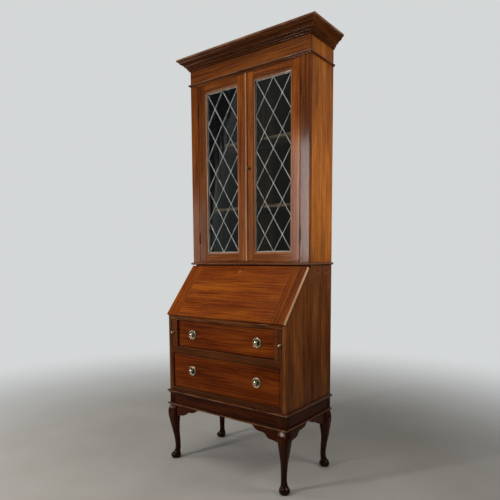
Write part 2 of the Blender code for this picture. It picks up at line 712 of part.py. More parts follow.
def bookcase_case(wood, dark_wood, inside_wood):
    behind = (FRAME_BACK_Y + TOUCH, BACK_Y)
    inside = (-INNER + TOUCH, INNER - TOUCH)
    depth = (behind[0], PANEL_Y)
    floor = BOOKCASE_FOOT + BOARD
    for side_name, side in SIDES:
        board(f"bookcase_side_{side_name}", span(side, INNER, HALF), behind,
              (BOOKCASE_FOOT, CROWN_Z), wood)
    board("bookcase_bottom", inside, depth, (BOOKCASE_FOOT, floor), wood)
    board("bookcase_top", inside, depth, (CROWN_Z - BOARD, CROWN_Z), wood)
    board("bookcase_back", inside, (PANEL_Y + TOUCH, BACK_Y),
          (BOOKCASE_FOOT, CROWN_Z), inside_wood)
    for shelf_name, rise in (("lower_shelf", LOWER_SHELF), ("upper_shelf", UPPER_SHELF)):
        board(shelf_name, inside, (behind[0] + SHELF_SET_BACK, PANEL_Y - TOUCH),
              (floor + rise - SHELF, floor + rise), inside_wood)

    frame = board("face_frame", (-HALF, HALF), (BOOKCASE_Y, FRAME_BACK_Y),
                  (BOOKCASE_FOOT, FRAME_TOP - TOUCH), wood)
    doorway = boxes("doorway", [((-DOORWAY, DOORWAY), (BOOKCASE_Y - DOOR, FRAME_BACK_Y + DOOR),
                                 (DOORWAY_FOOT, DOORWAY_HEAD))])
    combine(frame, doorway, "DIFFERENCE")
    board("frieze_board", (-HALF, HALF), (BOOKCASE_Y, FRAME_BACK_Y), (FRAME_TOP, CROWN_Z), wood)

    round_case("cornice", cornice_profile(), BOOKCASE_Y, CROWN_Z - CORNICE_HEIGHT, dark_wood)
    bead = ASTRAGAL_HEIGHT * 0.36
    astragal = [(TOUCH, 0.0), (ASTRAGAL_REACH * 0.35, 0.0),
                *arc((ASTRAGAL_REACH - bead, ASTRAGAL_HEIGHT - bead), bead, -70, 90, 5),
                (TOUCH, ASTRAGAL_HEIGHT)]
    round_case("astragal", astragal, BOOKCASE_Y, FRAME_TOP - ASTRAGAL_HEIGHT * 0.7, wood)
    nose = WAIST_HEIGHT * 0.33
    waist = [(TOUCH, 0.0), (WAIST_REACH * 0.45, 0.0),
             *arc((WAIST_REACH - nose, WAIST_HEIGHT * 0.48), nose, -80, 90, 5),
             (WAIST_REACH * 0.30, WAIST_HEIGHT), (TOUCH, WAIST_HEIGHT)]
    round_case("waist_moulding", waist, BOOKCASE_Y, BOOKCASE_FOOT, dark_wood)


def clip(polygon, normal, offset):
    """The part of a convex polygon where normal . point <= offset."""
    kept = []
    for a, b in zip(polygon, polygon[1:] + polygon[:1]):
        da = normal[0] * a[0] + normal[1] * a[1] - offset
        db = normal[0] * b[0] + normal[1] * b[1] - offset
        if da <= 0:
            kept.append(a)
        if da * db < 0:
            t = da / (da - db)
            kept.append((a[0] + t * (b[0] - a[0]), a[1] + t * (b[1] - a[1])))
    return kept


def area(polygon):
    pairs = zip(polygon, polygon[1:] + polygon[:1])
    return abs(sum(a[0] * b[1] - b[0] * a[1] for a, b in pairs)) / 2


def panes(x, z):
    """The glass shapes between the cames of a leaded light that fills x by z."""
    wide = (x[1] - x[0]) / DIAMONDS_ACROSS
    high = (z[1] - z[0]) / DIAMONDS_HIGH
    slant = math.hypot(1 / wide, 1 / high)
    rectangle = [(x[0] + BORDER_CAME, z[0] + BORDER_CAME), (x[1] - BORDER_CAME, z[0] + BORDER_CAME),
                 (x[1] - BORDER_CAME, z[1] - BORDER_CAME), (x[0] + BORDER_CAME, z[1] - BORDER_CAME)]
    rising = (1 / wide / slant, 1 / high / slant)
    falling = (1 / wide / slant, -1 / high / slant)
    found = []
    for a in range(DIAMONDS_ACROSS + DIAMONDS_HIGH):
        for b in range(-DIAMONDS_HIGH, DIAMONDS_ACROSS):
            pane = rectangle
            for normal, step, start in (
                (rising, a, x[0] / wide + z[0] / high),
                (falling, b, x[0] / wide - z[0] / high),
            ):
                near = (start + step) / slant + CAME / 2
                far = (start + step + 1) / slant - CAME / 2
                pane = clip(pane, normal, far)
                pane = clip(pane, (-normal[0], -normal[1]), -near)
            if len(pane) > 2 and area(pane) > CAME ** 2:
                found.append(pane)
    return found


def leaded_light(name, x, z, front, surface, mover):
    """A pane thickened along its lead cames: shallow pockets on both faces show the glass."""
    back = front + CAME_DEPTH
    light = board(name, x, (front, back), z, surface, mover, 0)
    recess = (CAME_DEPTH - GLASS) / 2
    cutter = bmesh.new()
    for pane in panes(x, z):
        for near, far in ((front - recess, front + recess), (back - recess, back + recess)):
            add_prism(cutter, [[(px, end, pz) for px, pz in pane] for end in (near, far)])
    return combine(light, finish(f"{name}_pockets", cutter, None), "DIFFERENCE")


def door(side_name, side, wood, glass):
    mover = empty(f"door_hinge_axis_{side_name}", (side * PIVOT_X, PIVOT_Y, DOOR_FOOT))
    x = span(side, DOOR_INNER, DOOR_OUTER)
    z = (DOOR_FOOT, DOOR_HEAD)
    frame = board(f"door_frame_{side_name}", x, (BOOKCASE_Y, BOOKCASE_Y + DOOR), z, wood, mover)

    face_x = (x[0] + STILE, x[1] - STILE)
    face_z = (z[0] + DOOR_RAIL, z[1] - DOOR_RAIL)
    sight_x = (face_x[0] + SIGHT_MOULDING, face_x[1] - SIGHT_MOULDING)
    sight_z = (face_z[0] + SIGHT_MOULDING, face_z[1] - SIGHT_MOULDING)
    light_x = widened(sight_x, REBATE)
    light_z = widened(sight_z, REBATE)

    def rim(bx, bz, y):
        return [(bx[0], y, bz[0]), (bx[1], y, bz[0]), (bx[1], y, bz[1]), (bx[0], y, bz[1])]

    # The cutter widens from the glass to the face, and behind the glass into the rebate.
    rims = (
        rim(face_x, face_z, BOOKCASE_Y - SIGHT_DEPTH), rim(face_x, face_z, BOOKCASE_Y),
        rim(sight_x, sight_z, BOOKCASE_Y + SIGHT_DEPTH),
        rim(sight_x, sight_z, BOOKCASE_Y + REBATE_DEPTH),
        rim(light_x, light_z, BOOKCASE_Y + REBATE_DEPTH),
        rim(light_x, light_z, BOOKCASE_Y + 2 * DOOR),
    )
    cutter = bmesh.new()
    rings = [[cutter.verts.new(point) for point in points] for points in rims]
    for near, far in zip(rings, rings[1:]):
        for i in range(4):
            j = (i + 1) % 4
            cutter.faces.new((near[i], near[j], far[j], far[i]))
    cutter.faces.new(rings[0])
    cutter.faces.new(rings[-1])
    combine(frame, finish(f"door_opening_{side_name}", cutter, None), "DIFFERENCE")

    leaded_light(f"leaded_light_{side_name}", widened(light_x, -TOUCH), widened(light_z, -TOUCH),
                 BOOKCASE_Y + REBATE_DEPTH + TOUCH, glass, mover)
    return mover


def meeting_bead(wood, mover):
    """A bead planted on the right door's edge. It stays clear of the left door's path."""
    y = BOOKCASE_Y - TOUCH
    half = MEETING_BEAD / 2
    centre = DOOR_INNER + half
    face = [(centre + half * math.cos(a), y - MEETING_REACH * math.sin(a) ** 0.6)
            for a in (math.pi * i / 8 for i in range(9))]
    bm = bmesh.new()
    add_prism(bm, [[(px, py, end) for px, py in face] for end in (DOOR_FOOT, DOOR_HEAD)])
    smooth(finish("meeting_bead", bm, wood, mover))


def main():
    clear_scene()
    wood = material("stained_oak", (0.155, 0.056, 0.018), 0.38)
    dark_wood = material("dark_stained_oak", (0.045, 0.016, 0.009), 0.36)
    drawer_wood = material("red_brown_oak", (0.090, 0.028, 0.012), 0.38)
    inside_wood = material("unpolished_oak", (0.210, 0.125, 0.060), 0.65)
    brass = material("aged_brass", (0.420, 0.300, 0.130), 0.32, 1.0)
    glass = material("leaded_glass", (0.080, 0.090, 0.085), 0.10)

    stand(wood, dark_wood)
    bureau_case(wood, inside_wood)
    lopers(drawer_wood, brass)
    drawer("upper_drawer", DIVIDER_INNER, UPPER_FLOOR, UPPER_CEILING, UPPER_RECESS,
           UPPER_HANDLE_RISE, drawer_wood, inside_wood, brass)
    drawer("lower_drawer", LOWER_SIDE, LOWER_FLOOR, LOWER_CEILING, LOWER_RECESS,
           LOWER_HANDLE_RISE, drawer_wood, inside_wood, brass)
    fall_front(wood, brass)
    interior(inside_wood)
    bookcase_case(wood, dark_wood, inside_wood)
    movers = [door(side_name, side, wood, glass) for side_name, side in SIDES]
    meeting_bead(wood, movers[1])
    turned("door_knob", KNOB_PROFILE,
           (DOOR_KNOB_X, BOOKCASE_Y - TOUCH, TOP_Z + DOOR_KNOB_HEIGHT), brass, movers[1], 16)


main()
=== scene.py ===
# The looks of an oak bureau bookcase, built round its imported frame.
# Metres, +Z up, +X to the right seen from the front, the front faces -Y.

import json
import math
import random

import bmesh
import bpy
from mathutils import Matrix, Vector


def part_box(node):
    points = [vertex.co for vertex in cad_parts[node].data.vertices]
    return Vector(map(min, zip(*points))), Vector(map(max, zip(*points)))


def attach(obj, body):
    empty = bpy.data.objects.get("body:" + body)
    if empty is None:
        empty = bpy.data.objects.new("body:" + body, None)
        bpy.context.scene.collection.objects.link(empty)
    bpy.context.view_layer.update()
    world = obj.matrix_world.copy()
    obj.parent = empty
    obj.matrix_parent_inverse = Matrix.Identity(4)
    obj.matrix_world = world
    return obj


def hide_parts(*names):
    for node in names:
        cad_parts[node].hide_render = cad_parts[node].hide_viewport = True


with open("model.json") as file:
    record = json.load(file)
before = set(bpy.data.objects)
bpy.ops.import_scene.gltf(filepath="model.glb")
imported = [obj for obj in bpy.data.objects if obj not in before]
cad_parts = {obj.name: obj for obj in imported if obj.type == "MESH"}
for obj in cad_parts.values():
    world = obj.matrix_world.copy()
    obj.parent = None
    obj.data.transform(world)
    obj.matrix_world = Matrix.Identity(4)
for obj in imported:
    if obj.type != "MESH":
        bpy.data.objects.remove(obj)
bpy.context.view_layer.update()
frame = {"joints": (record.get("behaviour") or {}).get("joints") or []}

X, Y, Z = Vector((1, 0, 0)), Vector((0, 1, 0)), Vector((0, 0, 1))
SIDES = (("left", -1), ("right", 1))


# ---- places from the frame ----
def sides(node):
    """The x, y and z ranges of a CAD node."""
    low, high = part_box(node)
    return [(low[i], high[i]) for i in range(3)]


def joint(name):
    return next(made for made in frame["joints"] if made["name"] == name)


HALF = sides("bureau_side_right")[0][1]
INNER = sides("bookcase_side_right")[0][0]
BACK_Y = sides("bureau_side_right")[1][1]
CASE_FOOT = sides("bureau_side_right")[2][0]
TOP_Z = sides("bureau_side_right")[2][1]
FRONT_Y, BED_Z = joint("fall_hinge")["pos_m"][1:]
SLOPE = math.radians(180 - joint("fall_hinge")["range_deg"][1])
STAND_Z = sides("leg_front_right")[2][1]
RAIL_FOOT = sides("stand_rail_front")[2][0]
BOOKCASE_Y = sides("face_frame")[1][0]
FACED = sides("bureau_side_right")[0][0]    # inner face of the strips beside the lower drawer
GAP = 0.0003            # between pieces that touch
JOINT_LINE = 0.00015    # half the fine gap of a glued joint


# ---- shader graphs ----
class Graph:
    """Short ways to add and link shader nodes in one new material."""

    def __init__(self, name, collection=bpy.data.materials):
        self.material = collection.new(name)
        self.material.use_nodes = True
        self.tree = self.material.node_tree
        self.shader = self.tree.nodes.get("Principled BSDF")

    def put(self, value, socket):
        if isinstance(value, bpy.types.NodeSocket):
            self.tree.links.new(value, socket)
        else:
            socket.default_value = value

    def node(self, kind, inputs=None, **settings):
        made = self.tree.nodes.new(kind)
        for key, value in settings.items():
            setattr(made, key, value)
        for key, value in (inputs or {}).items():
            self.put(value, made.inputs[key])
        return made

    def maths(self, operation, *values, clamp=False):
        made = self.node("ShaderNodeMath", operation=operation, use_clamp=clamp)
        for value, socket in zip(values, made.inputs):
            self.put(value, socket)
        return made.outputs[0]

    def around(self, value, gain, onto, clamp=False):
        """How far a value lies from a half, times a gain, added onto another value."""
        return self.maths("MULTIPLY_ADD", self.maths("SUBTRACT", value, 0.5), gain, onto,
                          clamp=clamp)

    def vector(self, operation, first, second, output="Vector"):
        made = self.node("ShaderNodeVectorMath", operation=operation)
        self.put(first, made.inputs[0])
        self.put(second, made.inputs[1])
        return made.outputs[output]

    def fade(self, value, start, stop, low, high):
        """A smooth change from low to high while the value goes from start to stop."""
        made = self.node("ShaderNodeMapRange", {"Value": value, "From Min": start,
                                                "From Max": stop, "To Min": low,
                                                "To Max": high}, interpolation_type="SMOOTHSTEP")
        return made.outputs[0]

    def noise(self, place, scale, detail=2.0, roughness=0.5):
        """Noise over a place, stretched by a scale for each of its directions."""
        stretched = self.vector("MULTIPLY", place, scale)
        made = self.node("ShaderNodeTexNoise", {"Vector": stretched, "Scale": 1.0,
                                                "Detail": detail, "Roughness": roughness})
        return made.outputs["Fac"]

    def attribute(self, name, output="Fac"):
        return self.node("ShaderNodeAttribute", attribute_name=name).outputs[output]

    def ramp(self, value, stops):
        """A grey or colour ramp of (place, colour) stops."""
        made = self.node("ShaderNodeValToRGB")
        self.put(value, made.inputs["Fac"])
        elements = made.color_ramp.elements
        while len(elements) < len(stops):
            elements.new(0.5)
        for element, (place, colour) in zip(elements, stops):
            element.position = place
            grey = isinstance(colour, (int, float))
            element.color = (colour, colour, colour, 1.0) if grey else (*colour, 1.0)
        return made.outputs["Color"]

    def blend(self, share, first, second, mode="MIX"):
        made = self.node("ShaderNodeMix", data_type="RGBA", blend_type=mode)
        self.put(share, made.inputs["Factor"])
        for value, socket in ((first, made.inputs[6]), (second, made.inputs[7])):
            self.put((*value, 1.0) if isinstance(value, tuple) else value, socket)
        return made.outputs[2]

    def edge_wear_and_sheen(self, radius, low, high):
        """A mask of 0 on flat faces and 1 on the rounded edges of a piece."""
        normal = self.node("ShaderNodeNewGeometry").outputs["Normal"]
        rounded = self.node("ShaderNodeBevel", {"Radius": radius}, samples=4)
        match = self.vector("DOT_PRODUCT", rounded.outputs["Normal"], normal, "Value")
        turned_away = self.maths("SUBTRACT", 1.0, match)
        return self.ramp(turned_away, [(low, 0.0), (high, 1.0)])

    def bump(self, height, strength, distance):
        made = self.node("ShaderNodeBump", {"Height": height, "Strength": strength,
                                            "Distance": distance})
        self.put(made.outputs["Normal"], self.shader.inputs["Normal"])

    def plain(self, **values):
        for key, value in values.items():
            self.shader.inputs[key.replace("_", " ")].default_value = value


# ---- materials ----
LOOKS = {}              # look: its material and the name of a slot in the record
RING = 0.0085           # growth rings' spacing
# Colour of the pale edges: real wear, and a painted highlight along them.
WORN_AND_SHEEN = (0.50, 0.24, 0.11)


def times(colour, share):
    return tuple(channel * share for channel in colour)


def growth_rings(g, grain):
    """Light and dark bands where a board's faces cut the log's rings."""
    along, across, through = g.node("ShaderNodeSeparateXYZ", {"Vector": grain}).outputs
    across = g.around(g.noise(grain, (1.5, 7.0, 7.0)), 0.05, across)
    squares = [g.maths("MULTIPLY", value, value) for value in (across, through)]
    radius = g.maths("MULTIPLY_ADD", along, 0.02, g.maths("SQRT", g.maths("ADD", *squares)))
    uneven = g.maths("MULTIPLY", g.noise(grain, (1.6, 30.0, 30.0)), 1.6)
    ring = g.maths("FRACT", g.maths("ADD", g.maths("DIVIDE", radius, RING), uneven))
    return g.ramp(ring, [(0.0, 0.35), (0.14, 0.0), (0.42, 0.85), (0.75, 1.0), (1.0, 0.4)])


def grime_wear_and_painted_light(g, grain, colour, grime, worn_and_sheen, wear_and_sheen):
    """A wood's colour, darker in its corners for grime and painted shade, and paler on its edges for
    wear and painted highlights.
    """
    # Darker in corners and recesses: grime, and painted shade where less light reaches.
    shelter = g.node("ShaderNodeAmbientOcclusion", {"Distance": 0.022}, samples=4)
    grime_and_shade = g.ramp(shelter.outputs["AO"], [(0.25, 0.80), (0.85, 0.0)])
    colour = g.blend(grime_and_shade, colour, grime)
    # Paler on rounded edges and moulding noses: wear, and painted highlights where the edges catch
    # the light.
    patchy = g.ramp(g.noise(grain, (14.0, 40.0, 40.0), 2.0), [(0.35, 0.25), (0.65, 1.0)])
    edge = g.maths("MAXIMUM", g.edge_wear_and_sheen(0.0022, 0.02, 0.20), g.attribute("rubbed"))
    edge = g.maths("MULTIPLY", g.maths("MULTIPLY", edge, patchy), wear_and_sheen)
    return g.blend(edge, colour, worn_and_sheen)


def wood(look, slot, dark, middle, light, polish, coat, worn_and_sheen=WORN_AND_SHEEN, wear_and_sheen=0.35, shine=0.17,
         relief=0.22):
    """Stained oak. The mesh attribute grain holds (along, across, through) in metres."""
    g = Graph(f"{look}_look")
    grain = g.attribute("grain", "Vector")
    rings = growth_rings(g, grain)
    fibre = g.noise(grain, (9.0, 420.0, 420.0), 3.0, 0.6)
    streak = g.noise(grain, (2.2, 120.0, 120.0), 3.0, 0.60)
    cloud = g.noise(grain, (3.2, 15.0, 15.0), 3.0, 0.50)
    pore = g.ramp(g.noise(grain, (40.0, 1500.0, 1500.0), 1.0), [(0.60, 0.0), (0.72, 1.0)])
    ray = g.ramp(g.noise(grain, (34.0, 190.0, 70.0), 1.0), [(0.62, 0.0), (0.74, 1.0)])

    shade = g.around(fibre, 0.7, g.around(cloud, 0.70, g.around(streak, 0.85, 0.5)))
    shade = g.maths("MULTIPLY_ADD", g.maths("SUBTRACT", rings, 0.6), 0.16, shade)
    colour = g.ramp(shade, [(0.26, dark), (0.50, middle), (0.78, light)])
    colour = g.blend(g.maths("MULTIPLY", pore, 0.55), colour, times(dark, 0.45))
    colour = g.blend(g.maths("MULTIPLY", ray, 0.22), colour, times(light, 1.25))
    # tone: each board's own random tone, times painted highlights and painted shade for some pieces,
    # and darker towards the floor.
    tone = g.attribute("tone")
    tones = g.node("ShaderNodeCombineXYZ", {"X": tone, "Y": tone, "Z": tone}).outputs[0]
    colour = g.vector("MULTIPLY", colour, tones)
    # Grime and painted shade in the corners; wear and painted highlights on the edges.
    colour = grime_wear_and_painted_light(g, grain, colour, times(dark, 0.35), worn_and_sheen, wear_and_sheen)
    g.put(colour, g.shader.inputs["Base Color"])

    gloss = g.maths("MULTIPLY_ADD", pore, 0.12, g.around(cloud, 0.22, polish))
    gloss = g.maths("MULTIPLY_ADD", fibre, 0.06, gloss, clamp=True)
    g.put(gloss, g.shader.inputs["Roughness"])
    height = g.maths("SUBTRACT", g.maths("MULTIPLY_ADD", fibre, 0.35, rings), pore)
    g.bump(g.maths("MULTIPLY_ADD", streak, 2.0, height), relief, 0.0004)
    g.plain(Specular_IOR_Level=shine, Specular_Tint=(1.0, 0.48, 0.20, 1.0), Coat_Weight=coat,
            Coat_Roughness=0.14)
    LOOKS[look] = (g.material, slot)


def brass(look, clean, tarnish, roughness):
    """Old brass. The mesh attribute patina is 1 in its recesses and 0 where it is rubbed."""
    g = Graph(f"{look}_look")
    place = g.node("ShaderNodeTexCoord").outputs["Object"]
    spots = g.noise(place, (260.0,) * 3, 4.0, 0.65)
    dirt = g.around(spots, 1.1, g.attribute("patina"))
    dirt = g.around(g.noise(place, (45.0,) * 3, 2.0), 0.9, dirt, clamp=True)
    g.put(g.blend(dirt, clean, tarnish), g.shader.inputs["Base Color"])
    g.put(g.maths("MULTIPLY_ADD", dirt, 0.30, roughness, clamp=True), g.shader.inputs["Roughness"])
    g.bump(spots, 0.15, 0.0002)
    g.plain(Metallic=1.0)
    LOOKS[look] = (g.material, "aged_brass")


def lead():
    g = Graph("lead_look")
    place = g.node("ShaderNodeTexCoord").outputs["Object"]
    bloom = g.noise(place, (24.0,) * 3, 4.0, 0.6)
    scratch = g.noise(place, (30.0, 400.0, 260.0), 2.0)
    g.put(g.ramp(bloom, [(0.3, (0.13, 0.132, 0.126)), (0.7, (0.50, 0.505, 0.485))]),
          g.shader.inputs["Base Color"])
    g.put(g.maths("MULTIPLY_ADD", scratch, 0.25, 0.38), g.shader.inputs["Roughness"])
    g.bump(scratch, 0.20, 0.0002)
    g.plain(Metallic=0.45)
    LOOKS["lead"] = (g.material, "leaded_glass")


def keyhole_shadow():
    g = Graph("shadow_look")
    g.plain(Roughness=0.8, Base_Color=(0.004, 0.003, 0.003, 1.0))
    LOOKS["shadow"] = (g.material, "aged_brass")


def old_glass():
    """Clear glass that light passes straight through, with the ripple of drawn sheet."""
    g = Graph("old_glass_look")
    place = g.node("ShaderNodeTexCoord").outputs["Object"]
    ripple = g.noise(place, (16.0, 16.0, 5.0), 2.0)
    bump = g.node("ShaderNodeBump", {"Height": ripple, "Strength": 0.03, "Distance": 0.01})
    film = g.noise(place, (7.0, 7.0, 3.0), 3.0)
    tint = g.ramp(film, [(0.3, (0.74, 0.80, 0.76)), (0.7, (0.86, 0.90, 0.87))])
    clear = g.node("ShaderNodeBsdfTransparent", {"Color": tint})
    mirror = g.node("ShaderNodeBsdfGlossy", {"Roughness": 0.03, "Normal": bump.outputs[0]})
    facing = g.node("ShaderNodeFresnel", {"IOR": 1.5})
    both = g.node("ShaderNodeMixShader", {"Fac": facing.outputs[0]})
    g.put(clear.outputs[0], both.inputs[1])
    g.put(mirror.outputs[0], both.inputs[2])
    g.put(both.outputs[0], g.tree.nodes["Material Output"].inputs["Surface"])
    g.tree.nodes.remove(g.shader)
    LOOKS["leaded_glass"] = (g.material, "leaded_glass")


# look, slot, dark, middle and light tone, roughness, coat
wood("stained_oak", "stained_oak", (0.095, 0.013, 0.0008), (0.24, 0.044, 0.0018),
     (0.42, 0.105, 0.006), 0.36, 0.03)
wood("side_oak", "stained_oak", (0.042, 0.01, 0.003), (0.12, 0.034, 0.008),
     (0.25, 0.082, 0.02), 0.40, 0.06)
wood("upper_side_oak", "stained_oak", (0.105, 0.026, 0.003), (0.285, 0.082, 0.008),
     (0.48, 0.165, 0.026), 0.38, 0.08)
wood("rail_oak", "stained_oak", (0.035, 0.008, 0.002), (0.085, 0.021, 0.0045),
     (0.16, 0.046, 0.011), 0.42, 0.08)
wood("red_brown_oak", "red_brown_oak", (0.065, 0.008, 0.0008), (0.17, 0.026, 0.0012),
     (0.3, 0.066, 0.004), 0.36, 0.03)
wood("door_oak", "stained_oak", (0.06, 0.011, 0.0015), (0.165, 0.037, 0.004),
     (0.31, 0.09, 0.011), 0.29, 0.17, relief=0.6)
wood("dark_stained_oak", "dark_stained_oak", (0.012, 0.0018, 0.0005), (0.036, 0.005, 0.0007),
     (0.085, 0.015, 0.002), 0.22, 0.08, (0.4, 0.19, 0.08), 0.55, shine=0.13)
wood("leg_oak", "dark_stained_oak", (0.008, 0.0012, 0.0004), (0.024, 0.0034, 0.0006),
     (0.06, 0.011, 0.002), 0.16, 0.20, (0.3, 0.13, 0.05), 0.25, shine=0.10)
wood("cornice_oak", "dark_stained_oak", (0.026, 0.006, 0.0015), (0.075, 0.019, 0.004),
     (0.16, 0.046, 0.01), 0.30, 0.10, (0.45, 0.22, 0.12), 0.50, shine=0.16)
# Pale wood for the pellets' own colour, and a painted highlight on the sight mouldings and the
# meeting bead.
wood("reveal_oak", "stained_oak", (0.22, 0.09, 0.04), (0.36, 0.17, 0.085),
     (0.48, 0.26, 0.15), 0.30, 0.25)
# Painted highlight: a pale wood for the light caught along the arrises of the fall's ends.
wood("pale_oak", "stained_oak", (0.6, 0.3, 0.13), (0.78, 0.45, 0.23),
     (0.88, 0.58, 0.34), 0.35, 0.10, (0.9, 0.64, 0.42))
wood("unpolished_oak", "unpolished_oak", (0.07, 0.03, 0.01), (0.15, 0.072, 0.027),
     (0.24, 0.13, 0.055), 0.62, 0.0, wear_and_sheen=0.2)
wood("inside_oak", "unpolished_oak", (0.022, 0.01, 0.005), (0.048, 0.023, 0.011),
     (0.085, 0.044, 0.022), 0.62, 0.0, wear_and_sheen=0.2)
wood("shelf_oak", "unpolished_oak", (0.42, 0.23, 0.14), (0.64, 0.39, 0.27),
     (0.78, 0.52, 0.38), 0.45, 0.05)
brass("aged_brass", (0.78, 0.66, 0.44), (0.065, 0.05, 0.026), 0.24)
brass("gilt_brass", (0.44, 0.20, 0.06), (0.16, 0.065, 0.018), 0.42)
brass("hinge_brass", (0.20, 0.09, 0.035), (0.06, 0.026, 0.01), 0.45)
brass("knob_brass", (0.46, 0.33, 0.18), (0.07, 0.045, 0.022), 0.32)
brass("dark_brass", (0.14, 0.07, 0.035), (0.022, 0.012, 0.008), 0.38)
keyhole_shadow()
lead()
old_glass()


# ---- making pieces ----
WOODEN = []             # (piece, direction of the grain, direction through the board, heart)
CUTTERS = []            # helpers that are removed once the wood is settled


def piece(name, bm, look, node=None, body="carcass"):
    """An object from a bmesh in row coordinates, riding on its body and standing for a node."""
    bmesh.ops.recalc_face_normals(bm, faces=bm.faces)
    material, slot = LOOKS[look]
    mesh = bpy.data.meshes.new(name)
    bm.to_mesh(mesh)
    bm.free()
    mesh.shade_smooth()
    mesh.materials.append(material)
    made = bpy.data.objects.new(name, mesh)
    bpy.context.scene.collection.objects.link(made)
    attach(made, body)
    if node:
        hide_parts(node)
    return made


def rounded(made, width, segments=3):
    """Soft edges whose shading leaves the flat faces flat."""
    bevel = made.modifiers.new("edges", "BEVEL")
    bevel.width = width
    bevel.segments = segments
    bevel.limit_method = "ANGLE"
    bevel.angle_limit = math.radians(28)
    made.modifiers.new("flat_faces", "WEIGHTED_NORMAL").weight = 80
    return made


def sharp(made, degrees):
    made.data.set_sharp_from_angle(angle=math.radians(degrees))
    return made


def wooden(made, along, through, heart=False):
    """Notes how a piece was sawn: along the grain, through the board, and near the heart or not."""
    WOODEN.append((made, along.normalized(), through.normalized(), heart))
    return made


def add_box(bm, x, y, z):
    size = Matrix.Diagonal((x[1] - x[0], y[1] - y[0], z[1] - z[0], 1.0))
    centre = Matrix.Translation((sum(x) / 2, sum(y) / 2, sum(z) / 2))
    bmesh.ops.create_cube(bm, size=1.0, matrix=centre @ size)


def add_loft(bm, rims, closed=True):
    """A skin over outlines that match point for point, with its ends filled."""
    rings = [[bm.verts.new(point) for point in rim] for rim in rims]
    for near, far in zip(rings, rings[1:]):
        for i in range(len(near)):
            j = (i + 1) % len(near)
            bm.faces.new((near[i], near[j], far[j], far[i]))
    if closed:
        bm.faces.new(rings[0])
        bm.faces.new(rings[-1])


def board(name, ranges, along, through, look, node=None, body="carcass", edge=0.0014, heart=False):
    bm = bmesh.new()
    add_box(bm, *ranges)
    made = rounded(piece(name, bm, look, node, body), edge)
    return wooden(made, along, through, heart)


def placed(outline, axis, end):
    """An outline in two axes, at a place on the third one (0 for x, 1 for y, 2 for z)."""
    return [(*point[:axis], end, *point[axis:]) for point in outline]


def prism(name, outline, axis, ends, grain, look, node=None, body="carcass", edge=0.0014):
    """An outline in the two other axes, extruded along an axis (0 for x, 1 for y, 2 for z)."""
    bm = bmesh.new()
    add_loft(bm, [placed(outline, axis, end) for end in ends])
    made = rounded(piece(name, bm, look, node, body), edge)
    return wooden(made, grain, (X, Y, Z)[axis])


def circle(radius, count):
    turns = [2 * math.pi * i / count for i in range(count)]
    return [(radius * math.cos(a), radius * math.sin(a)) for a in turns]


def rod(name, axis, ends, centre, size, look, node=None, body="carcass"):
    """A round bar with eased ends; size is (radius, how far the ends are eased, sides)."""
    radius, eased, count = size
    places = ((ends[0], 0.86), (ends[0] + eased, 1.0), (ends[1] - eased, 1.0), (ends[1], 0.86))
    bm = bmesh.new()
    add_loft(bm, [placed([(centre[0] + u, centre[1] + v)
                          for u, v in circle(radius * share, count)], axis, end)
                  for end, share in places])
    return sharp(piece(name, bm, look, node, body), 40)


def shrink(span, by):
    return (span[0] + by, span[1] - by)


def reach(side, inner, outer):
    """The x range between two distances from the middle, on the left (-1) or the right (1)."""
    return tuple(sorted((side * inner, side * outer)))


def arc(centre, radius, start, end, steps):
    """Points on an arc; angles in degrees from the first axis."""
    turns = [math.radians(start + (end - start) * i / steps) for i in range(steps + 1)]
    return [(centre[0] + radius * math.cos(a), centre[1] + radius * math.sin(a)) for a in turns]


def smooth_line(points, steps=4):
    """A Catmull-Rom curve through the points."""
    padded = [points[0], *points, points[-1]]
    line = []
    for a, b, c, d in zip(padded, padded[1:], padded[2:], padded[3:]):
        for i in range(steps):
            t = i / steps
            line.append(tuple(
                0.5 * (2 * q + (r - p) * t + (2 * p - 5 * q + 4 * r - s) * t * t
                       + (3 * q - p - 3 * r + s) * t ** 3)
                for p, q, r, s in zip(a, b, c, d)
            ))
    line.append(tuple(points[-1]))
    return line


def moulding_size(node):
    """A moulding's foot, how far it stands out from the case, and its rise."""
    low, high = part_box(node)
    return low.z, high.x - HALF, high.z - low.z


def moulding(name, profile, front_y, foot, look, node):
    """A moulding of (distance out, height) points in three mitred lengths."""
    corners = {
        "back_left": lambda out: (-HALF - out, BACK_Y),
        "left": lambda out: (-HALF - out, front_y - out),
        "right": lambda out: (HALF + out, front_y - out),
        "back_right": lambda out: (HALF + out, BACK_Y),
    }
    lengths = (
        ("left", "back_left", "left", Y, X), ("front", "left", "right", X, Y),
        ("right", "right", "back_right", Y, X),
    )
    furthest = max(out for out, _ in profile)
    for end, start, stop, along, through in lengths:
        rims = [[(*corners[corner](out), foot + height) for out, height in profile]
                for corner in (start, stop)]
        if end == "front":
            rims = [[(px + sign * GAP / 2, py, pz) for px, py, pz in rim]
                    for sign, rim in zip((1, -1), rims)]
        bm = bmesh.new()
        add_loft(bm, rims)
        # The moulding's nose is marked paler: wear, and a painted highlight along it.
        rubbed = bm.verts.layers.float.new("rubbed")
        bm.verts.ensure_lookup_table()
        for i, (out, _) in enumerate(2 * profile):
            bm.verts[i][rubbed] = max(0.0, (out / furthest - 0.88) / 0.12)
        wooden(sharp(piece(f"{name}_{end}", bm, look, node), 28), along, through)


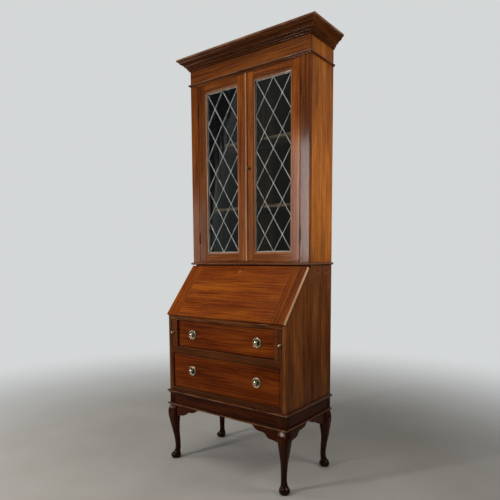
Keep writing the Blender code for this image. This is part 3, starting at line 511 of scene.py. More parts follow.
def turned(name, profile, place, look, node, body, steps, ripple=None):
    """A turned piece of (radius, distance out, patina) points, standing out of the front.

    ripple is (count, depth, first point, last point): beads round that stretch of the profile.
    """
    bm = bmesh.new()
    patina = bm.verts.layers.float.new("patina")
    rings = []
    for index, (radius, out, dirt) in enumerate(profile):
        ring = []
        for i in range(steps if radius else 1):
            angle = 2 * math.pi * i / steps
            lift, grime = 0.0, dirt
            if ripple and ripple[2] <= index <= ripple[3]:
                wave = 0.5 + 0.5 * math.cos(ripple[0] * angle)
                lift = ripple[1] * wave
                grime = dirt + 0.5 * (1 - wave)
            offset = Vector((radius * math.cos(angle), -out - lift, radius * math.sin(angle)))
            vert = bm.verts.new(Vector(place) + offset)
            vert[patina] = grime
            ring.append(vert)
        rings.append(ring)
    bm.faces.new(rings[0])
    for low, high in zip(rings, rings[1:]):
        for i in range(steps):
            j = (i + 1) % steps
            tip = [high[0]] if len(high) == 1 else [high[j], high[i]]
            bm.faces.new([low[i], low[j], *tip])
    return sharp(piece(name, bm, look, node, body), 50)


def screw(bm, place, outward, slot_turn, radius=0.0026):
    """A countersunk brass screw head, with its slot, lying in a plate."""
    up = outward.orthogonal().normalized()
    turn = Matrix.Rotation(slot_turn, 4, outward)
    frame_axes = Matrix((turn @ up, outward.cross(turn @ up), outward)).transposed().to_4x4()
    matrix = Matrix.Translation(place) @ frame_axes
    for sign in (-1, 1):
        points = [(radius * math.cos(a), sign * (0.00035 + radius * 0.93 * math.sin(a)))
                  for a in (math.pi * i / 10 for i in range(11))]
        rims = [[matrix @ Vector((px, py, height)) for px, py in points]
                for height in (-0.0002, 0.0003)]
        add_loft(bm, rims)


PAINTED_LIGHT_TONES = {
    "fall_end_right": 0.72, "door_left_stile_left": 0.72, "door_right_stile_left": 1.40,
    "door_right_stile_right": 1.45, "pilaster_right": 0.82, "foot_rail": 0.62,
    "upper_drawer_face": 0.84, "lower_drawer_face": 0.78, "frieze": 0.86,
    "cornice_length_front": 0.75, "bureau_side_right_board": 1.15,
}                       # pieces painted paler (painted highlight) or darker (painted shade) than the rest of their wood


def foot_tone(z):
    """Darker towards the floor, the feet almost black."""
    return min(1.0, 0.25 + 5.0 * z)


def settle_wood():
    """Applies each wooden piece's modifiers and writes where it lies in its board."""
    bpy.context.view_layer.update()
    graph = bpy.context.evaluated_depsgraph_get()
    for made, along, through, heart in WOODEN:
        mesh = bpy.data.meshes.new_from_object(made.evaluated_get(graph), depsgraph=graph,
                                               preserve_all_data_layers=True)
        made.modifiers.clear()
        made.data = mesh
        across = through.cross(along)
        luck = random.Random(made.name)
        points = [vertex.co for vertex in mesh.vertices]
        middle = sum(points, Vector()) / len(points)
        start = luck.uniform(0, 40)
        if heart:
            shift = Vector((start, luck.uniform(-0.02, 0.02), luck.uniform(0.035, 0.06)))
        else:
            shift = Vector((start, luck.uniform(0.30, 0.55), luck.uniform(0.02, 0.12)))
        values = []
        for point in points:
            away = point - middle
            values += [away.dot(along) + shift.x, away.dot(across) + shift.y,
                       away.dot(through) + shift.z]
        grain = mesh.attributes.new("grain", "FLOAT_VECTOR", "POINT")
        grain.data.foreach_set("vector", values)
        # Each board's random tone, times its painted highlight or painted shade.
        shade = luck.uniform(0.86, 1.14) * PAINTED_LIGHT_TONES.get(made.name, 1.0)
        tone = mesh.attributes.new("tone", "FLOAT", "POINT")
        tone.data.foreach_set("value", [shade * foot_tone(point.z) for point in points])
    for cutter in CUTTERS:
        bpy.data.objects.remove(cutter, do_unlink=True)


# ---- stand ----
# Each section: height as a share of the leg below the rail, the centre's distance inwards from
# the case's corner, half the section's side, and how round its corners are.
LEG_SECTIONS = (
    (0.000, 0.0165, 0.0190, 1.00), (0.012, 0.0165, 0.0196, 1.00), (0.020, 0.0163, 0.0236, 1.00),
    (0.048, 0.0160, 0.0255, 1.00), (0.080, 0.0172, 0.0236, 1.00), (0.112, 0.0200, 0.0176, 1.00),
    (0.150, 0.0230, 0.0148, 1.00), (0.224, 0.0245, 0.0136, 1.00), (0.345, 0.0228, 0.0145, 0.95),
    (0.490, 0.0190, 0.0170, 0.85), (0.617, 0.0160, 0.0205, 0.72), (0.717, 0.0145, 0.0235, 0.60),
    (0.814, 0.0135, 0.0258, 0.48), (0.903, 0.0150, 0.0260, 0.36), (0.966, 0.0185, 0.0222, 0.22),
    (1.000, 0.0200, 0.0200, 0.03),
)


def rounded_square(half, roundness, steps=7):
    radius = half * roundness
    centre = half - radius
    points = []
    for quarter, (sx, sy) in enumerate(((1, 1), (-1, 1), (-1, -1), (1, -1))):
        points += arc((sx * centre, sy * centre), radius, 90 * quarter, 90 * quarter + 90, steps)
    return points


def leg(end_name, end, side_name, side):
    corner_y = FRONT_Y if end < 0 else BACK_Y
    sections = [(share * RAIL_FOOT, *rest) for share, *rest in smooth_line(LEG_SECTIONS, 3)]
    sections.append((STAND_Z, *LEG_SECTIONS[-1][1:]))
    rims = []
    for z, inset, half, roundness in sections:
        inset_y = inset if end < 0 else max(inset, half)
        centre = (side * (HALF - inset), corner_y - end * inset_y)
        rims.append([(centre[0] + px, centre[1] + py, z)
                     for px, py in rounded_square(half, roundness)])
    bm = bmesh.new()
    add_loft(bm, rims)
    where = f"{end_name}_{side_name}"
    wooden(sharp(piece(f"cabriole_leg_{where}", bm, "leg_oak", f"leg_{where}"), 42), Z, Y)


def bracket_curve():
    """The stepped lower edge of a bracket: (distance from the leg, depth below the rail)."""
    first = smooth_line([(0.0, 0.0575), (0.022, 0.0530), (0.046, 0.0500), (0.058, 0.0440)])
    second = smooth_line([(0.068, 0.0310), (0.080, 0.0270), (0.104, 0.0255), (0.122, 0.0210)])
    return first + second + [(0.134, 0.0090), (0.145, 0.0030)]


def bracket(start, turn):
    """A bracket's (run, height) outline under a rail, from a leg towards the middle."""
    outline = [(start + turn * run, RAIL_FOOT - drop) for run, drop in bracket_curve()]
    return [*outline, (outline[-1][0], RAIL_FOOT), (start, RAIL_FOOT)]


def stand():
    look = "dark_stained_oak"
    for side_name, side in SIDES:
        for end_name, end in (("front", -1), ("back", 1)):
            leg(end_name, end, side_name, side)
    for end_name in ("front", "back"):
        node = f"stand_rail_{end_name}"
        board(f"{node}_board", sides(node), X, Y, look, node, edge=0.0004)

    front_knee = sides("leg_front_right")[1][1] + 0.0018
    back_knee = sides("leg_back_right")[1][0] - 0.0018
    for side_name, side in SIDES:
        node = f"knee_bracket_{side_name}"
        x, y, z = sides(node)
        start = max(x, key=lambda value: side * value)
        prism(f"knee_wing_{side_name}", bracket(start, -side), 1, y, X, look, node, edge=0.0018)

        node = f"stand_rail_{side_name}"
        x, y, z = sides(node)
        board(f"stand_side_rail_{side_name}", (x, y, (RAIL_FOOT + GAP, z[1])), Y, X, look, node,
              edge=0.0004)
        for end_name, knee, turn in (("front", front_knee, 1), ("back", back_knee, -1)):
            prism(f"side_wing_{end_name}_{side_name}", bracket(knee, turn), 0, x, Y, look, node,
                  edge=0.0018)

    foot, depth, rise = moulding_size("stand_bead")
    bead = [(GAP, 0.0), (depth - rise / 2, 0.0),
            *arc((depth - rise / 2, rise / 2), rise / 2, -80, 80, 10),
            (depth - rise / 2, rise), (GAP, rise)]
    moulding("stand_bead_length", bead, FRONT_Y, foot, look, "stand_bead")

    foot, depth, rise = moulding_size("base_moulding")
    nose = rise * 0.27
    profile = [(GAP, 0.0), (depth * 0.35, 0.0), (depth * 0.42, rise * 0.12),
               (depth * 0.55, rise * 0.22),
               *arc((depth - nose, rise * 0.53), nose, -80, 80, 10),
               (depth * 0.58, rise * 0.84), (depth * 0.46, rise * 0.90),
               (depth * 0.36, rise), (GAP, rise)]
    moulding("base_moulding_length", profile, FRONT_Y, foot, look, "base_moulding")


# ---- bureau ----
def slope_place(run, out):
    """(y, z) of a point up the slope from the fall's hinge and out from the sides' edge."""
    return (
        FRONT_Y + run * math.cos(SLOPE) - out * math.sin(SLOPE),
        BED_Z + run * math.sin(SLOPE) + out * math.cos(SLOPE),
    )


def slope_y(z):
    return FRONT_Y + (z - BED_Z) / math.tan(SLOPE)


UP_SLOPE = Vector((0, math.cos(SLOPE), math.sin(SLOPE)))
OUT_OF_SLOPE = Vector((0, -math.sin(SLOPE), math.cos(SLOPE)))


def planked(name, node, count, look):
    """A back of upright boards with fine V joints."""
    x, y, z = sides(node)
    width = (x[1] - x[0]) / count
    for i in range(count):
        span = shrink((x[0] + i * width, x[0] + (i + 1) * width), JOINT_LINE)
        board(f"{name}_{i + 1}", (span, y, z), Z, Y, look, node, edge=0.0016, heart=i % 2 == 0)


def bureau():
    outline = [(BACK_Y, CASE_FOOT), (FRONT_Y, CASE_FOOT), (FRONT_Y, BED_Z),
               (slope_y(TOP_Z), TOP_Z), (BACK_Y, TOP_Z)]
    low, high = sides("bureau_bottom")[2][1], sides("drawer_rail")[2][0]
    for side_name, side in SIDES:
        node = f"bureau_side_{side_name}"
        prism(f"{node}_board", outline, 0, reach(side, INNER, HALF), Z, "side_oak", node,
              edge=0.0016)
        strip = (reach(side, FACED, INNER - GAP), (FRONT_Y + 0.0012, FRONT_Y + 0.020),
                 (low + GAP, high - GAP))
        board(f"facing_strip_{side_name}", strip, Z, Y, "rail_oak")
        node = f"loper_divider_{side_name}"
        board(f"{node}_board", sides(node), Y, X, "rail_oak", node)

    rail_back = FRONT_Y + 0.022
    for node, rail_name, panel_name, thickness in (
        ("bureau_bottom", "foot_rail", "bottom_board", 0.018),
        ("drawer_rail", "middle_rail", "dust_board", 0.012),
    ):
        x, y, z = sides(node)
        board(rail_name, (x, (FRONT_Y, rail_back - GAP), z), X, Y, "rail_oak", node)
        board(panel_name, (x, (rail_back, y[1]), (z[1] - thickness, z[1])), X, Z,
              "unpolished_oak", node)

    x, y, z = sides("writing_bed")
    joint_y = y[0] + 0.060
    bed = board("writing_bed_front", (x, (y[0], joint_y - GAP), z), X, Z, "side_oak",
                "writing_bed")
    seat = hinge_room(lambda run, depth: (FRONT_Y + run, BED_Z - depth), LEAF + 2 * GAP)
    hinges = [sides(f"fall_hinge_{side_name}")[0] for side_name, _ in SIDES]
    cut(bed, [(shrink(span, -GAP), seat) for span in hinges])
    board("writing_bed_board", (x, (joint_y, y[1]), z), X, Z, "stained_oak", "writing_bed",
          heart=True)
    x, y, z = sides("bureau_top")
    top = [(slope_y(z[0]), z[0]), (y[1], z[0]), (y[1], z[1]), (slope_y(z[1]), z[1])]
    prism("bureau_top_board", top, 0, x, X, "stained_oak", "bureau_top")
    planked("bureau_back_board", "bureau_back", 5, "unpolished_oak")


HANDLE = (
    # radius, distance out and patina, from the edge of the plate to the tip of the knob
    (0.0240, 0.0000, 0.5), (0.0240, 0.0012, 0.4), (0.0236, 0.0024, 0.2), (0.0228, 0.0034, 0.1),
    (0.0218, 0.0040, 0.0), (0.0208, 0.0038, 0.1), (0.0200, 0.0030, 0.5), (0.0194, 0.0020, 0.9),
    (0.0180, 0.0017, 1.0), (0.0166, 0.0022, 0.7), (0.0160, 0.0026, 0.4), (0.0152, 0.0022, 0.8),
    (0.0130, 0.0015, 1.0), (0.0090, 0.0013, 1.0), (0.0066, 0.0018, 0.9), (0.0054, 0.0034, 0.7),
    (0.0048, 0.0056, 0.6), (0.0054, 0.0074, 0.4), (0.0078, 0.0088, 0.2), (0.0092, 0.0106, 0.0),
    (0.0096, 0.0124, 0.0), (0.0090, 0.0144, 0.0), (0.0072, 0.0161, 0.0), (0.0040, 0.0173, 0.0),
    (0.0000, 0.0177, 0.0),
)
SMALL_KNOB = (
    (0.0070, 0.0000, 0.6), (0.0070, 0.0008, 0.3), (0.0060, 0.0016, 0.5), (0.0042, 0.0022, 0.9),
    (0.0034, 0.0034, 0.8), (0.0034, 0.0050, 0.6), (0.0046, 0.0062, 0.3), (0.0060, 0.0078, 0.1),
    (0.0064, 0.0096, 0.0), (0.0058, 0.0116, 0.0), (0.0040, 0.0130, 0.0), (0.0000, 0.0137, 0.0),
)


def fitting(node, name, profile, look, body, steps, ripple=None):
    """A turned fitting on the middle of the back of its node."""
    low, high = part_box(node)
    middle = (low + high) / 2
    turned(name, profile, (middle.x, high.y, middle.z), look, node, body, steps, ripple)


def small_knob(node, body, look):
    fitting(node, f"{node}_turning", SMALL_KNOB, look, body, 40)


def moulded_front(name, ranges, border, step, look, node, body):
    """A drawer front with a thumbnail edge: a rounded border that steps back from the face."""
    x, y, z = ranges
    drop = step * 1.6
    profile = [(0.0, y[1] - y[0]), (0.0, drop + 0.0008), (0.0006, drop)]
    profile += [(border * math.sin(t), step + (drop - step) * math.cos(t))
                for t in (math.pi / 2 * i / 5 for i in range(1, 6))]
    profile += [(border, 0.0006), (border + 0.0006, 0.0)]
    rims = []
    for inset, back in profile:
        (left, right), (foot, head), place = shrink(x, inset), shrink(z, inset), y[0] + back
        rims.append([(left, place, foot), (right, place, foot), (right, place, head),
                     (left, place, head)])
    bm = bmesh.new()
    add_loft(bm, rims)
    wooden(sharp(piece(name, bm, look, node, body), 30), X, Y, heart=True)


HEAD_ROOM = 0.001       # between the drawer fronts and whatever passes over them


def drawer(name, bordered):
    x, y, z = sides(f"{name}_front")
    front = (x, y, (z[0], z[1] - HEAD_ROOM))
    node = f"{name}_front"
    if bordered:
        moulded_front(f"{name}_face", front, 0.0075, 0.0016, "red_brown_oak", node, name)
    else:
        board(f"{name}_face", front, X, Y, "red_brown_oak", node, name, 0.0016, heart=True)

    node, look, wall = f"{name}_box", "unpolished_oak", 0.010
    x, y, z = sides(node)
    bottom = z[0] + 0.006
    for side_name, side in SIDES:
        board(f"{name}_side_{side_name}", (reach(side, x[1] - wall, x[1]), y, z), Y, X, look,
              node, name, 0.001)
    inside = shrink(x, wall + JOINT_LINE)
    board(f"{name}_back", (inside, (y[1] - wall, y[1]), (bottom + GAP, z[1] - 0.004)), X, Y,
          look, node, name, 0.001)
    board(f"{name}_bottom", (inside, y, (z[0] + 0.001, bottom)), X, Z, look, node, name, 0.0006,
          heart=True)
    for side_name, _ in SIDES:
        fitting(f"{name}_handle_{side_name}", f"{name}_handle_{side_name}_rose", HANDLE,
                "aged_brass", name, 72, (24, 0.0006, 2, 5))


def lopers():
    for side_name, _ in SIDES:
        node = f"loper_{side_name}"
        x, y, z = sides(node)
        cap = y[0] + 0.012
        for part, span, along, through in (("head", (y[0], cap - JOINT_LINE), Z, Y),
                                           ("arm", (cap + JOINT_LINE, y[1]), Y, X)):
            board(f"{node}_{part}", (x, span, z), along, through, "rail_oak", node, node, 0.0012)
        small_knob(f"loper_knob_{side_name}", node, "knob_brass")


# ---- fall ----
FALL_THICKNESS = 0.017
FALL_BACK = 0.0005      # the fall's inner face, out from the sides' edge
BARREL = 0.0028         # radius of the hinges' knuckles
LEAF = 0.0014
LIPPING = 0.0024        # thickness of the lipping on the fall's ends, painted pale as a highlight along their arrises


def on_slope(name, x, run, out, along, look, node=None, edge=0.0014, heart=False):
    """A board lying on the slope, from its x range and its ranges up and out of the slope."""
    outline = [slope_place(run[0], out[0]), slope_place(run[1], out[0]),
               slope_place(run[1], out[1]), slope_place(run[0], out[1])]
    bm = bmesh.new()
    add_loft(bm, [placed(outline, 0, end) for end in x])
    return wooden(rounded(piece(name, bm, look, node, "fall"), edge), along, OUT_OF_SLOPE, heart)


def on_slope_corners(x, run, depth):
    """The corners of a rectangle on the slope, at a distance out of it."""
    return [(end, *slope_place(up, depth)) for end, up in zip((*x, *reversed(x)),
                                                              (run[0], run[0], run[1], run[1]))]


def cut(made, outlines):
    """Takes (x range, outline of (y, z) points) rooms out of a wooden piece."""
    bm = bmesh.new()
    for x, outline in outlines:
        add_loft(bm, [placed(outline, 0, end) for end in x])
    bmesh.ops.recalc_face_normals(bm, faces=bm.faces)
    mesh = bpy.data.meshes.new(f"{made.name}_rooms")
    bm.to_mesh(mesh)
    bm.free()
    cutter = bpy.data.objects.new(mesh.name, mesh)
    bpy.context.scene.collection.objects.link(cutter)
    boolean = made.modifiers.new("rooms", "BOOLEAN")
    boolean.operation = "DIFFERENCE"
    boolean.solver = "EXACT"
    boolean.object = cutter
    made.modifiers.move(len(made.modifiers) - 1, 0)
    CUTTERS.append(cutter)


def hinge_room(place, leaf):
    """Room for a knuckle and one leaf; place(run, depth) gives (y, z)."""
    room = BARREL + 0.0006
    run = LEAF_RUN + GAP
    corners = ((-room, room), (room, room), (room, leaf), (run, leaf), (run, -room), (-room, -room))
    return [place(*corner) for corner in corners]


LEAF_RUN = sides("fall_hinge_right")[1][1] - FRONT_Y


def fall_hinge(side_name):
    """A butt hinge: its leaf in the bed rides on the case, its leaf in the fall with the fall."""
    node = f"fall_hinge_{side_name}"
    x = sides(node)[0]
    third = (x[1] - x[0]) / 3
    for i, (body, stands_for) in enumerate((("carcass", node), ("fall", None), ("carcass", node))):
        knuckle = shrink((x[0] + i * third, x[0] + (i + 1) * third), 0.0001)
        rod(f"{node}_knuckle_{i + 1}", 0, knuckle, (FRONT_Y, BED_Z), (BARREL, 0.0004, 20),
            "dark_brass", stands_for, body)
    spots = (x[0] + third / 2, x[1] - third / 2)
    run = (BARREL + 0.0002, LEAF_RUN)
    top = BED_Z - 0.0002 - LEAF
    corners = [(end, FRONT_Y + up, top) for end, up in zip((*x, x[1], x[0]),
                                                          (run[0], run[0], run[1], run[1]))]
    plate(f"{node}_bed_leaf", corners, LEAF, Z, "dark_brass", node, "carcass",
          [(spot, FRONT_Y + LEAF_RUN * 0.62, top) for spot in spots])
    depth = FALL_BACK + 0.0002 + LEAF
    plate(f"{node}_fall_leaf", on_slope_corners(x, run, depth), LEAF, -OUT_OF_SLOPE,
          "dark_brass", None, "fall",
          [(spot, *slope_place(LEAF_RUN * 0.62, depth)) for spot in spots])


def plate(name, corners, thickness, outward, look, node, body, holes):
    """A thin brass plate with soft edges, with screws on the face that outward points to."""
    bm = bmesh.new()
    add_loft(bm, [[Vector(c) + outward * t for c in corners] for t in (0.0, thickness)])
    rounded(piece(name, bm, look, node, body), 0.0003, 2)
    heads = bmesh.new()
    for i, place in enumerate(holes):
        screw(heads, Vector(place) + outward * thickness, outward, 0.5 + 1.1 * i)
    piece(f"{name}_screws", heads, look, None, body)


def fall():
    x, _, z = sides("fall_panel")
    outer = sides("fall_clamp_right")[0][1]
    out = (FALL_BACK, FALL_BACK + FALL_THICKNESS)
    run = (FALL_BACK, (z[1] - BED_Z - out[1] * math.cos(SLOPE)) / math.sin(SLOPE))
    boards = []
    width = (run[1] - run[0]) / 3
    for i in range(3):
        part = shrink((run[0] + i * width, run[0] + (i + 1) * width), JOINT_LINE / 2)
        boards.append(on_slope(f"fall_board_{i + 1}", x, part, out, X, "stained_oak",
                               "fall_panel", 0.0005, heart=i == 1))
    hinges = [sides(f"fall_hinge_{side_name}")[0] for side_name, _ in SIDES]
    seat = hinge_room(slope_place, FALL_BACK + LEAF + GAP)
    cut(boards[0], [(shrink(span, -GAP), seat) for span in hinges])
    for side_name, side in SIDES:
        clamp_x = reach(side, x[1] + JOINT_LINE, outer - LIPPING)
        on_slope(f"fall_end_{side_name}", clamp_x, run, out, UP_SLOPE, "stained_oak",
                 f"fall_clamp_{side_name}", 0.0003)
        # The pale lipping is a painted highlight along the fall's end arris.
        on_slope(f"fall_lipping_{side_name}", reach(side, outer - LIPPING, outer), run,
                 (out[0] + 0.004, out[1]), UP_SLOPE, "pale_oak", edge=0.0010)
        fall_hinge(side_name)
    fall_lock(run[1], boards[2])
    fall_keyhole(run[1])


def fall_lock(length, top_board):
    x = sides("fall_lock")[0]
    run = (length - 0.036, length)
    room = [slope_place(run[0] - GAP, -0.01), slope_place(run[0] - GAP, 0.0098),
            slope_place(run[1] + 0.01, 0.0098), slope_place(run[1] + 0.01, -0.01)]
    cut(top_board, [(shrink(x, -GAP), room)])
    holes = [(px, *slope_place(run[0] + 0.012, 0.0095)) for px in (-0.025, 0.025)]
    plate("fall_lock_case", on_slope_corners(x, run, 0.0095), 0.009, -OUT_OF_SLOPE,
          "aged_brass", "fall_lock", "fall", holes)


def oval_plate(name, centre, up, outward, radii, thickness, look, body):
    """A small oval plate with a keyhole let into it as a dark sunk shape."""
    centre, level = Vector(centre), up.cross(outward).normalized()

    def shape(outline, lift):
        return [centre + outward * lift + level * px + up * py for px, py in outline]

    rims = [shape([(radii[0] * u, radii[1] * v) for u, v in circle(share, 32)], lift)
            for share, lift in ((1.0, -0.0004), (1.0, thickness * 0.6), (0.93, thickness),
                                (0.5, thickness * 1.05))]
    bm = bmesh.new()
    add_loft(bm, rims)
    sharp(piece(name, bm, look, None, body), 35)
    hole = bmesh.new()
    outline = arc((0.0, radii[1] * 0.22), 0.26 * radii[0], -54, 234, 14)
    outline += [(-radii[0] * 0.16, -radii[1] * 0.5), (radii[0] * 0.16, -radii[1] * 0.5)]
    lifts = (thickness * 0.7, thickness * 1.06 + 0.00005)
    add_loft(hole, [shape(outline, lift) for lift in lifts])
    piece(f"{name}_keyhole", hole, "shadow", None, body)


def fall_keyhole(length):
    place = (-0.018, *slope_place(length - 0.036, FALL_BACK + FALL_THICKNESS))
    oval_plate("fall_escutcheon", place, UP_SLOPE, OUT_OF_SLOPE, (0.0062, 0.0085), 0.0004,
               "gilt_brass", "fall")


# ---- writing interior ----
PIGEON_WALL = 0.007
SMALL_WALL = 0.005
LETTER_HOLES = 6


def interior():
    node = "pigeonholes"
    x, y, z = sides(node)
    half = x[1]
    inner = half - PIGEON_WALL - JOINT_LINE
    deep = (y[0], y[1] - 0.005)
    shelf_foot = z[0] + PIGEON_WALL + 0.052
    parts = [(name, ((-inner, inner), deep, (foot, foot + PIGEON_WALL)), X, Z)
             for name, foot in (("floor", z[0]), ("shelf", shelf_foot),
                                ("head", z[1] - PIGEON_WALL))]
    parts += [(f"side_{side_name}", (reach(side, inner + JOINT_LINE, half), y, z), Y, X)
              for side_name, side in SIDES]
    parts.append(("back", ((-inner, inner), (deep[1] + JOINT_LINE, y[1]), z), X, Y))
    for name, ranges, along, through in parts:
        board(f"pigeonhole_{name}", ranges, along, through, "unpolished_oak", node, edge=0.0008)
    rows = (
        ("lower", 3, (z[0] + PIGEON_WALL, shelf_foot)),
        ("upper", LETTER_HOLES, (shelf_foot + PIGEON_WALL, z[1] - PIGEON_WALL)),
    )
    for row, count, height in rows:
        pitch = (2 * half - PIGEON_WALL) / count
        for i in range(1, count):
            partition(f"pigeonhole_{row}_partition_{i}", i * pitch - half, deep, height,
                      row == "upper")
    for side_name, _ in SIDES:
        small_drawer(f"small_drawer_{side_name}")


def partition(name, start, y, z, shaped):
    """An upright between holes; the upper ones have a front edge hollowed like a wave."""
    foot, head = z[0] + JOINT_LINE, z[1] - JOINT_LINE
    edge = [(y[0] + 0.001, foot), (y[0] + 0.001, head)]
    if shaped:
        rise = head - foot
        edge = [(y[0] + 0.001 + 0.022 * math.sin(math.pi * i / 12) ** 2, foot + rise * i / 12)
                for i in range(13)]
    outline = [*edge, (y[1] - JOINT_LINE, head), (y[1] - JOINT_LINE, foot)]
    prism(name, outline, 0, (start, start + PIGEON_WALL), Y, "unpolished_oak", "pigeonholes",
          edge=0.0008)


def small_drawer(node):
    x, y, z = sides(node)
    front = (y[0] + 0.0112, y[0] + 0.0202)
    board(f"{node}_face", (x, front, z), X, Y, "red_brown_oak", node, node, 0.001)
    back = (front[1] + JOINT_LINE, y[1])
    inner = shrink(x, SMALL_WALL + JOINT_LINE)
    walls = (
        ("wall_left", ((x[0], x[0] + SMALL_WALL), back, (z[0], z[1] - 0.0008)), Y, X),
        ("wall_right", ((x[1] - SMALL_WALL, x[1]), back, (z[0], z[1] - 0.0008)), Y, X),
        ("floor", (inner, back, (z[0], z[0] + SMALL_WALL)), X, Z),
        ("end", (inner, (y[1] - SMALL_WALL, y[1]), (z[0] + SMALL_WALL + GAP, z[1] - 0.003)), X, Y),
    )
    for name, ranges, along, through in walls:
        board(f"{node}_{name}", ranges, along, through, "unpolished_oak", node, node, 0.0006)
    turned(f"{node}_knob", INNER_KNOB, (sum(x) / 2, front[0], sum(z) / 2), "aged_brass", node,
           node, 32)


INNER_KNOB = (
    (0.0046, -0.0004, 0.6), (0.0046, 0.0010, 0.3), (0.0040, 0.0018, 0.6), (0.0033, 0.0030, 0.8),
    (0.0036, 0.0042, 0.6), (0.0050, 0.0056, 0.2), (0.0057, 0.0074, 0.0), (0.0052, 0.0092, 0.0),
    (0.0034, 0.0106, 0.0), (0.0000, 0.0111, 0.0),
)


# ---- bookcase ----
PILASTER = 0.048
STILE = 0.044
DOOR_RAIL = 0.035
SIGHT = 0.009           # width of the moulding round the glass
SIGHT_DEPTH = 0.008
REBATE = 0.006
REBATE_DEPTH = 0.013


def bookcase():
    for side_name, side in SIDES:
        node = f"bookcase_side_{side_name}"
        board(f"{node}_board", sides(node), Z, X, "upper_side_oak", node)
    for node, look in (("bookcase_bottom", "rail_oak"), ("bookcase_top", "inside_oak")):
        board(f"{node}_board", sides(node), X, Z, look, node)
    planked("bookcase_back_board", "bookcase_back", 5, "inside_oak")
    for node in ("lower_shelf", "upper_shelf"):
        x, y, z = sides(node)
        radius = (z[1] - z[0]) / 2
        nose = arc((y[0] + radius * 0.7, z[0] + radius), radius, 270, 90, 8)
        nose = [(y[0] + (py - y[0] - radius * 0.7) * 0.7 + radius * 0.7, pz) for py, pz in nose]
        outline = [*nose, (y[1], z[1]), (y[1], z[0])]
        bm = bmesh.new()
        add_loft(bm, [[(end, *point) for point in outline] for end in x])
        made = piece(f"{node}_board", bm, "shelf_oak", node)
        wooden(sharp(made, 40), X, Z)

    x, y, z = sides("face_frame")
    door_z = sides("door_frame_right")[2]
    doorway = HALF - PILASTER
    for side_name, side in SIDES:
        board(f"pilaster_{side_name}", (reach(side, doorway, HALF), y, z), Z, Y, "door_oak",
              "face_frame")
    between = (-doorway + JOINT_LINE, doorway - JOINT_LINE)
    for name, span in (("frame_foot_rail", (z[0], door_z[0] - 0.002)),
                       ("frame_head_rail", (door_z[1] + 0.002, z[1]))):
        board(name, (between, y, span), X, Y, "door_oak", "face_frame", edge=0.0008)
    # The frieze has the darker door wood and a darker tone: painted shade under the cornice.
    board("frieze", sides("frieze_board"), X, Y, "door_oak", "frieze_board",
          edge=0.0012)

    low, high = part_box("cornice")
    reed = 0.004
    cornice = [
        (GAP, 0.0),
        *arc((0.0030, reed), reed, -90, 62, 9),
        *arc((0.0090, 3 * reed), reed, -82, 62, 9),
        (0.0150, 0.0163), (0.0150, 0.0200), (0.0215, 0.0203), (0.0218, 0.0218),
        *smooth_line([(0.0225, 0.0225), (0.0258, 0.0275), (0.0320, 0.0315),
                      (0.0385, 0.0355), (0.0432, 0.0430)], 5),
        (0.0455, 0.0438), (0.0455, 0.0465), (high.x - HALF, 0.0470),
        (high.x - HALF, high.z - low.z), (GAP, high.z - low.z),
    ]
    moulding("cornice_length", cornice, BOOKCASE_Y, low.z, "cornice_oak", "cornice")

    low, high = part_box("astragal")
    depth, rise = high.x - HALF, high.z - low.z
    bead = rise * 0.36
    astragal = [(GAP, 0.0), (depth * 0.35, 0.0), (depth * 0.42, rise * 0.16),
                *arc((depth - bead, rise - bead), bead, -80, 90, 10), (GAP, rise)]
    moulding("astragal_length", astragal, BOOKCASE_Y, low.z, "cornice_oak", "astragal")

    low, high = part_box("waist_moulding")
    depth, rise = high.x - HALF, high.z - low.z
    nose = rise * 0.33
    waist = [(GAP, 0.0), (depth * 0.45, 0.0), (depth * 0.5, rise * 0.1),
             *arc((depth - nose, rise * 0.48), nose, -80, 85, 10),
             (depth * 0.30, rise), (GAP, rise)]
    moulding("waist_length", waist, BOOKCASE_Y, low.z, "cornice_oak", "waist_moulding")
    for i, (py, pz) in enumerate(((0.080, 0.969), (0.155, 0.969))):
        pellet(f"side_pellet_{i + 1}", py, pz)


def pellet(name, y, z):
    """A plug of wood over a screw in the bureau's right side, a hair below its face."""
    bm = bmesh.new()
    add_loft(bm, [[(px, y + radius * math.cos(a), z + radius * math.sin(a))
                   for a in (2 * math.pi * i / 24 for i in range(24))]
                  for px, radius in ((HALF - 0.001, 0.0040), (HALF + 0.0001, 0.0040),
                                     (HALF + 0.0003, 0.0034))])
    wooden(sharp(piece(name, bm, "reveal_oak"), 30), Y, X)


def mitred(name, x, z, front_y, section, look, node, body):
    """Four mitred lengths inside an opening, from (inwards, depth) points."""
    def corner(right, top, inwards, depth):
        px = x[1] - inwards if right else x[0] + inwards
        pz = z[1] - inwards if top else z[0] + inwards
        return (px, front_y + depth, pz)

    lengths = (("foot", (0, 0), (1, 0), X), ("head", (0, 1), (1, 1), X),
               ("left", (0, 0), (0, 1), Z), ("right", (1, 0), (1, 1), Z))
    for end, start, stop, along in lengths:
        bm = bmesh.new()
        add_loft(bm, [[corner(*place, *point) for point in section] for place in (start, stop)])
        wooden(sharp(piece(f"{name}_{end}", bm, look, node, body), 28), along, Y)


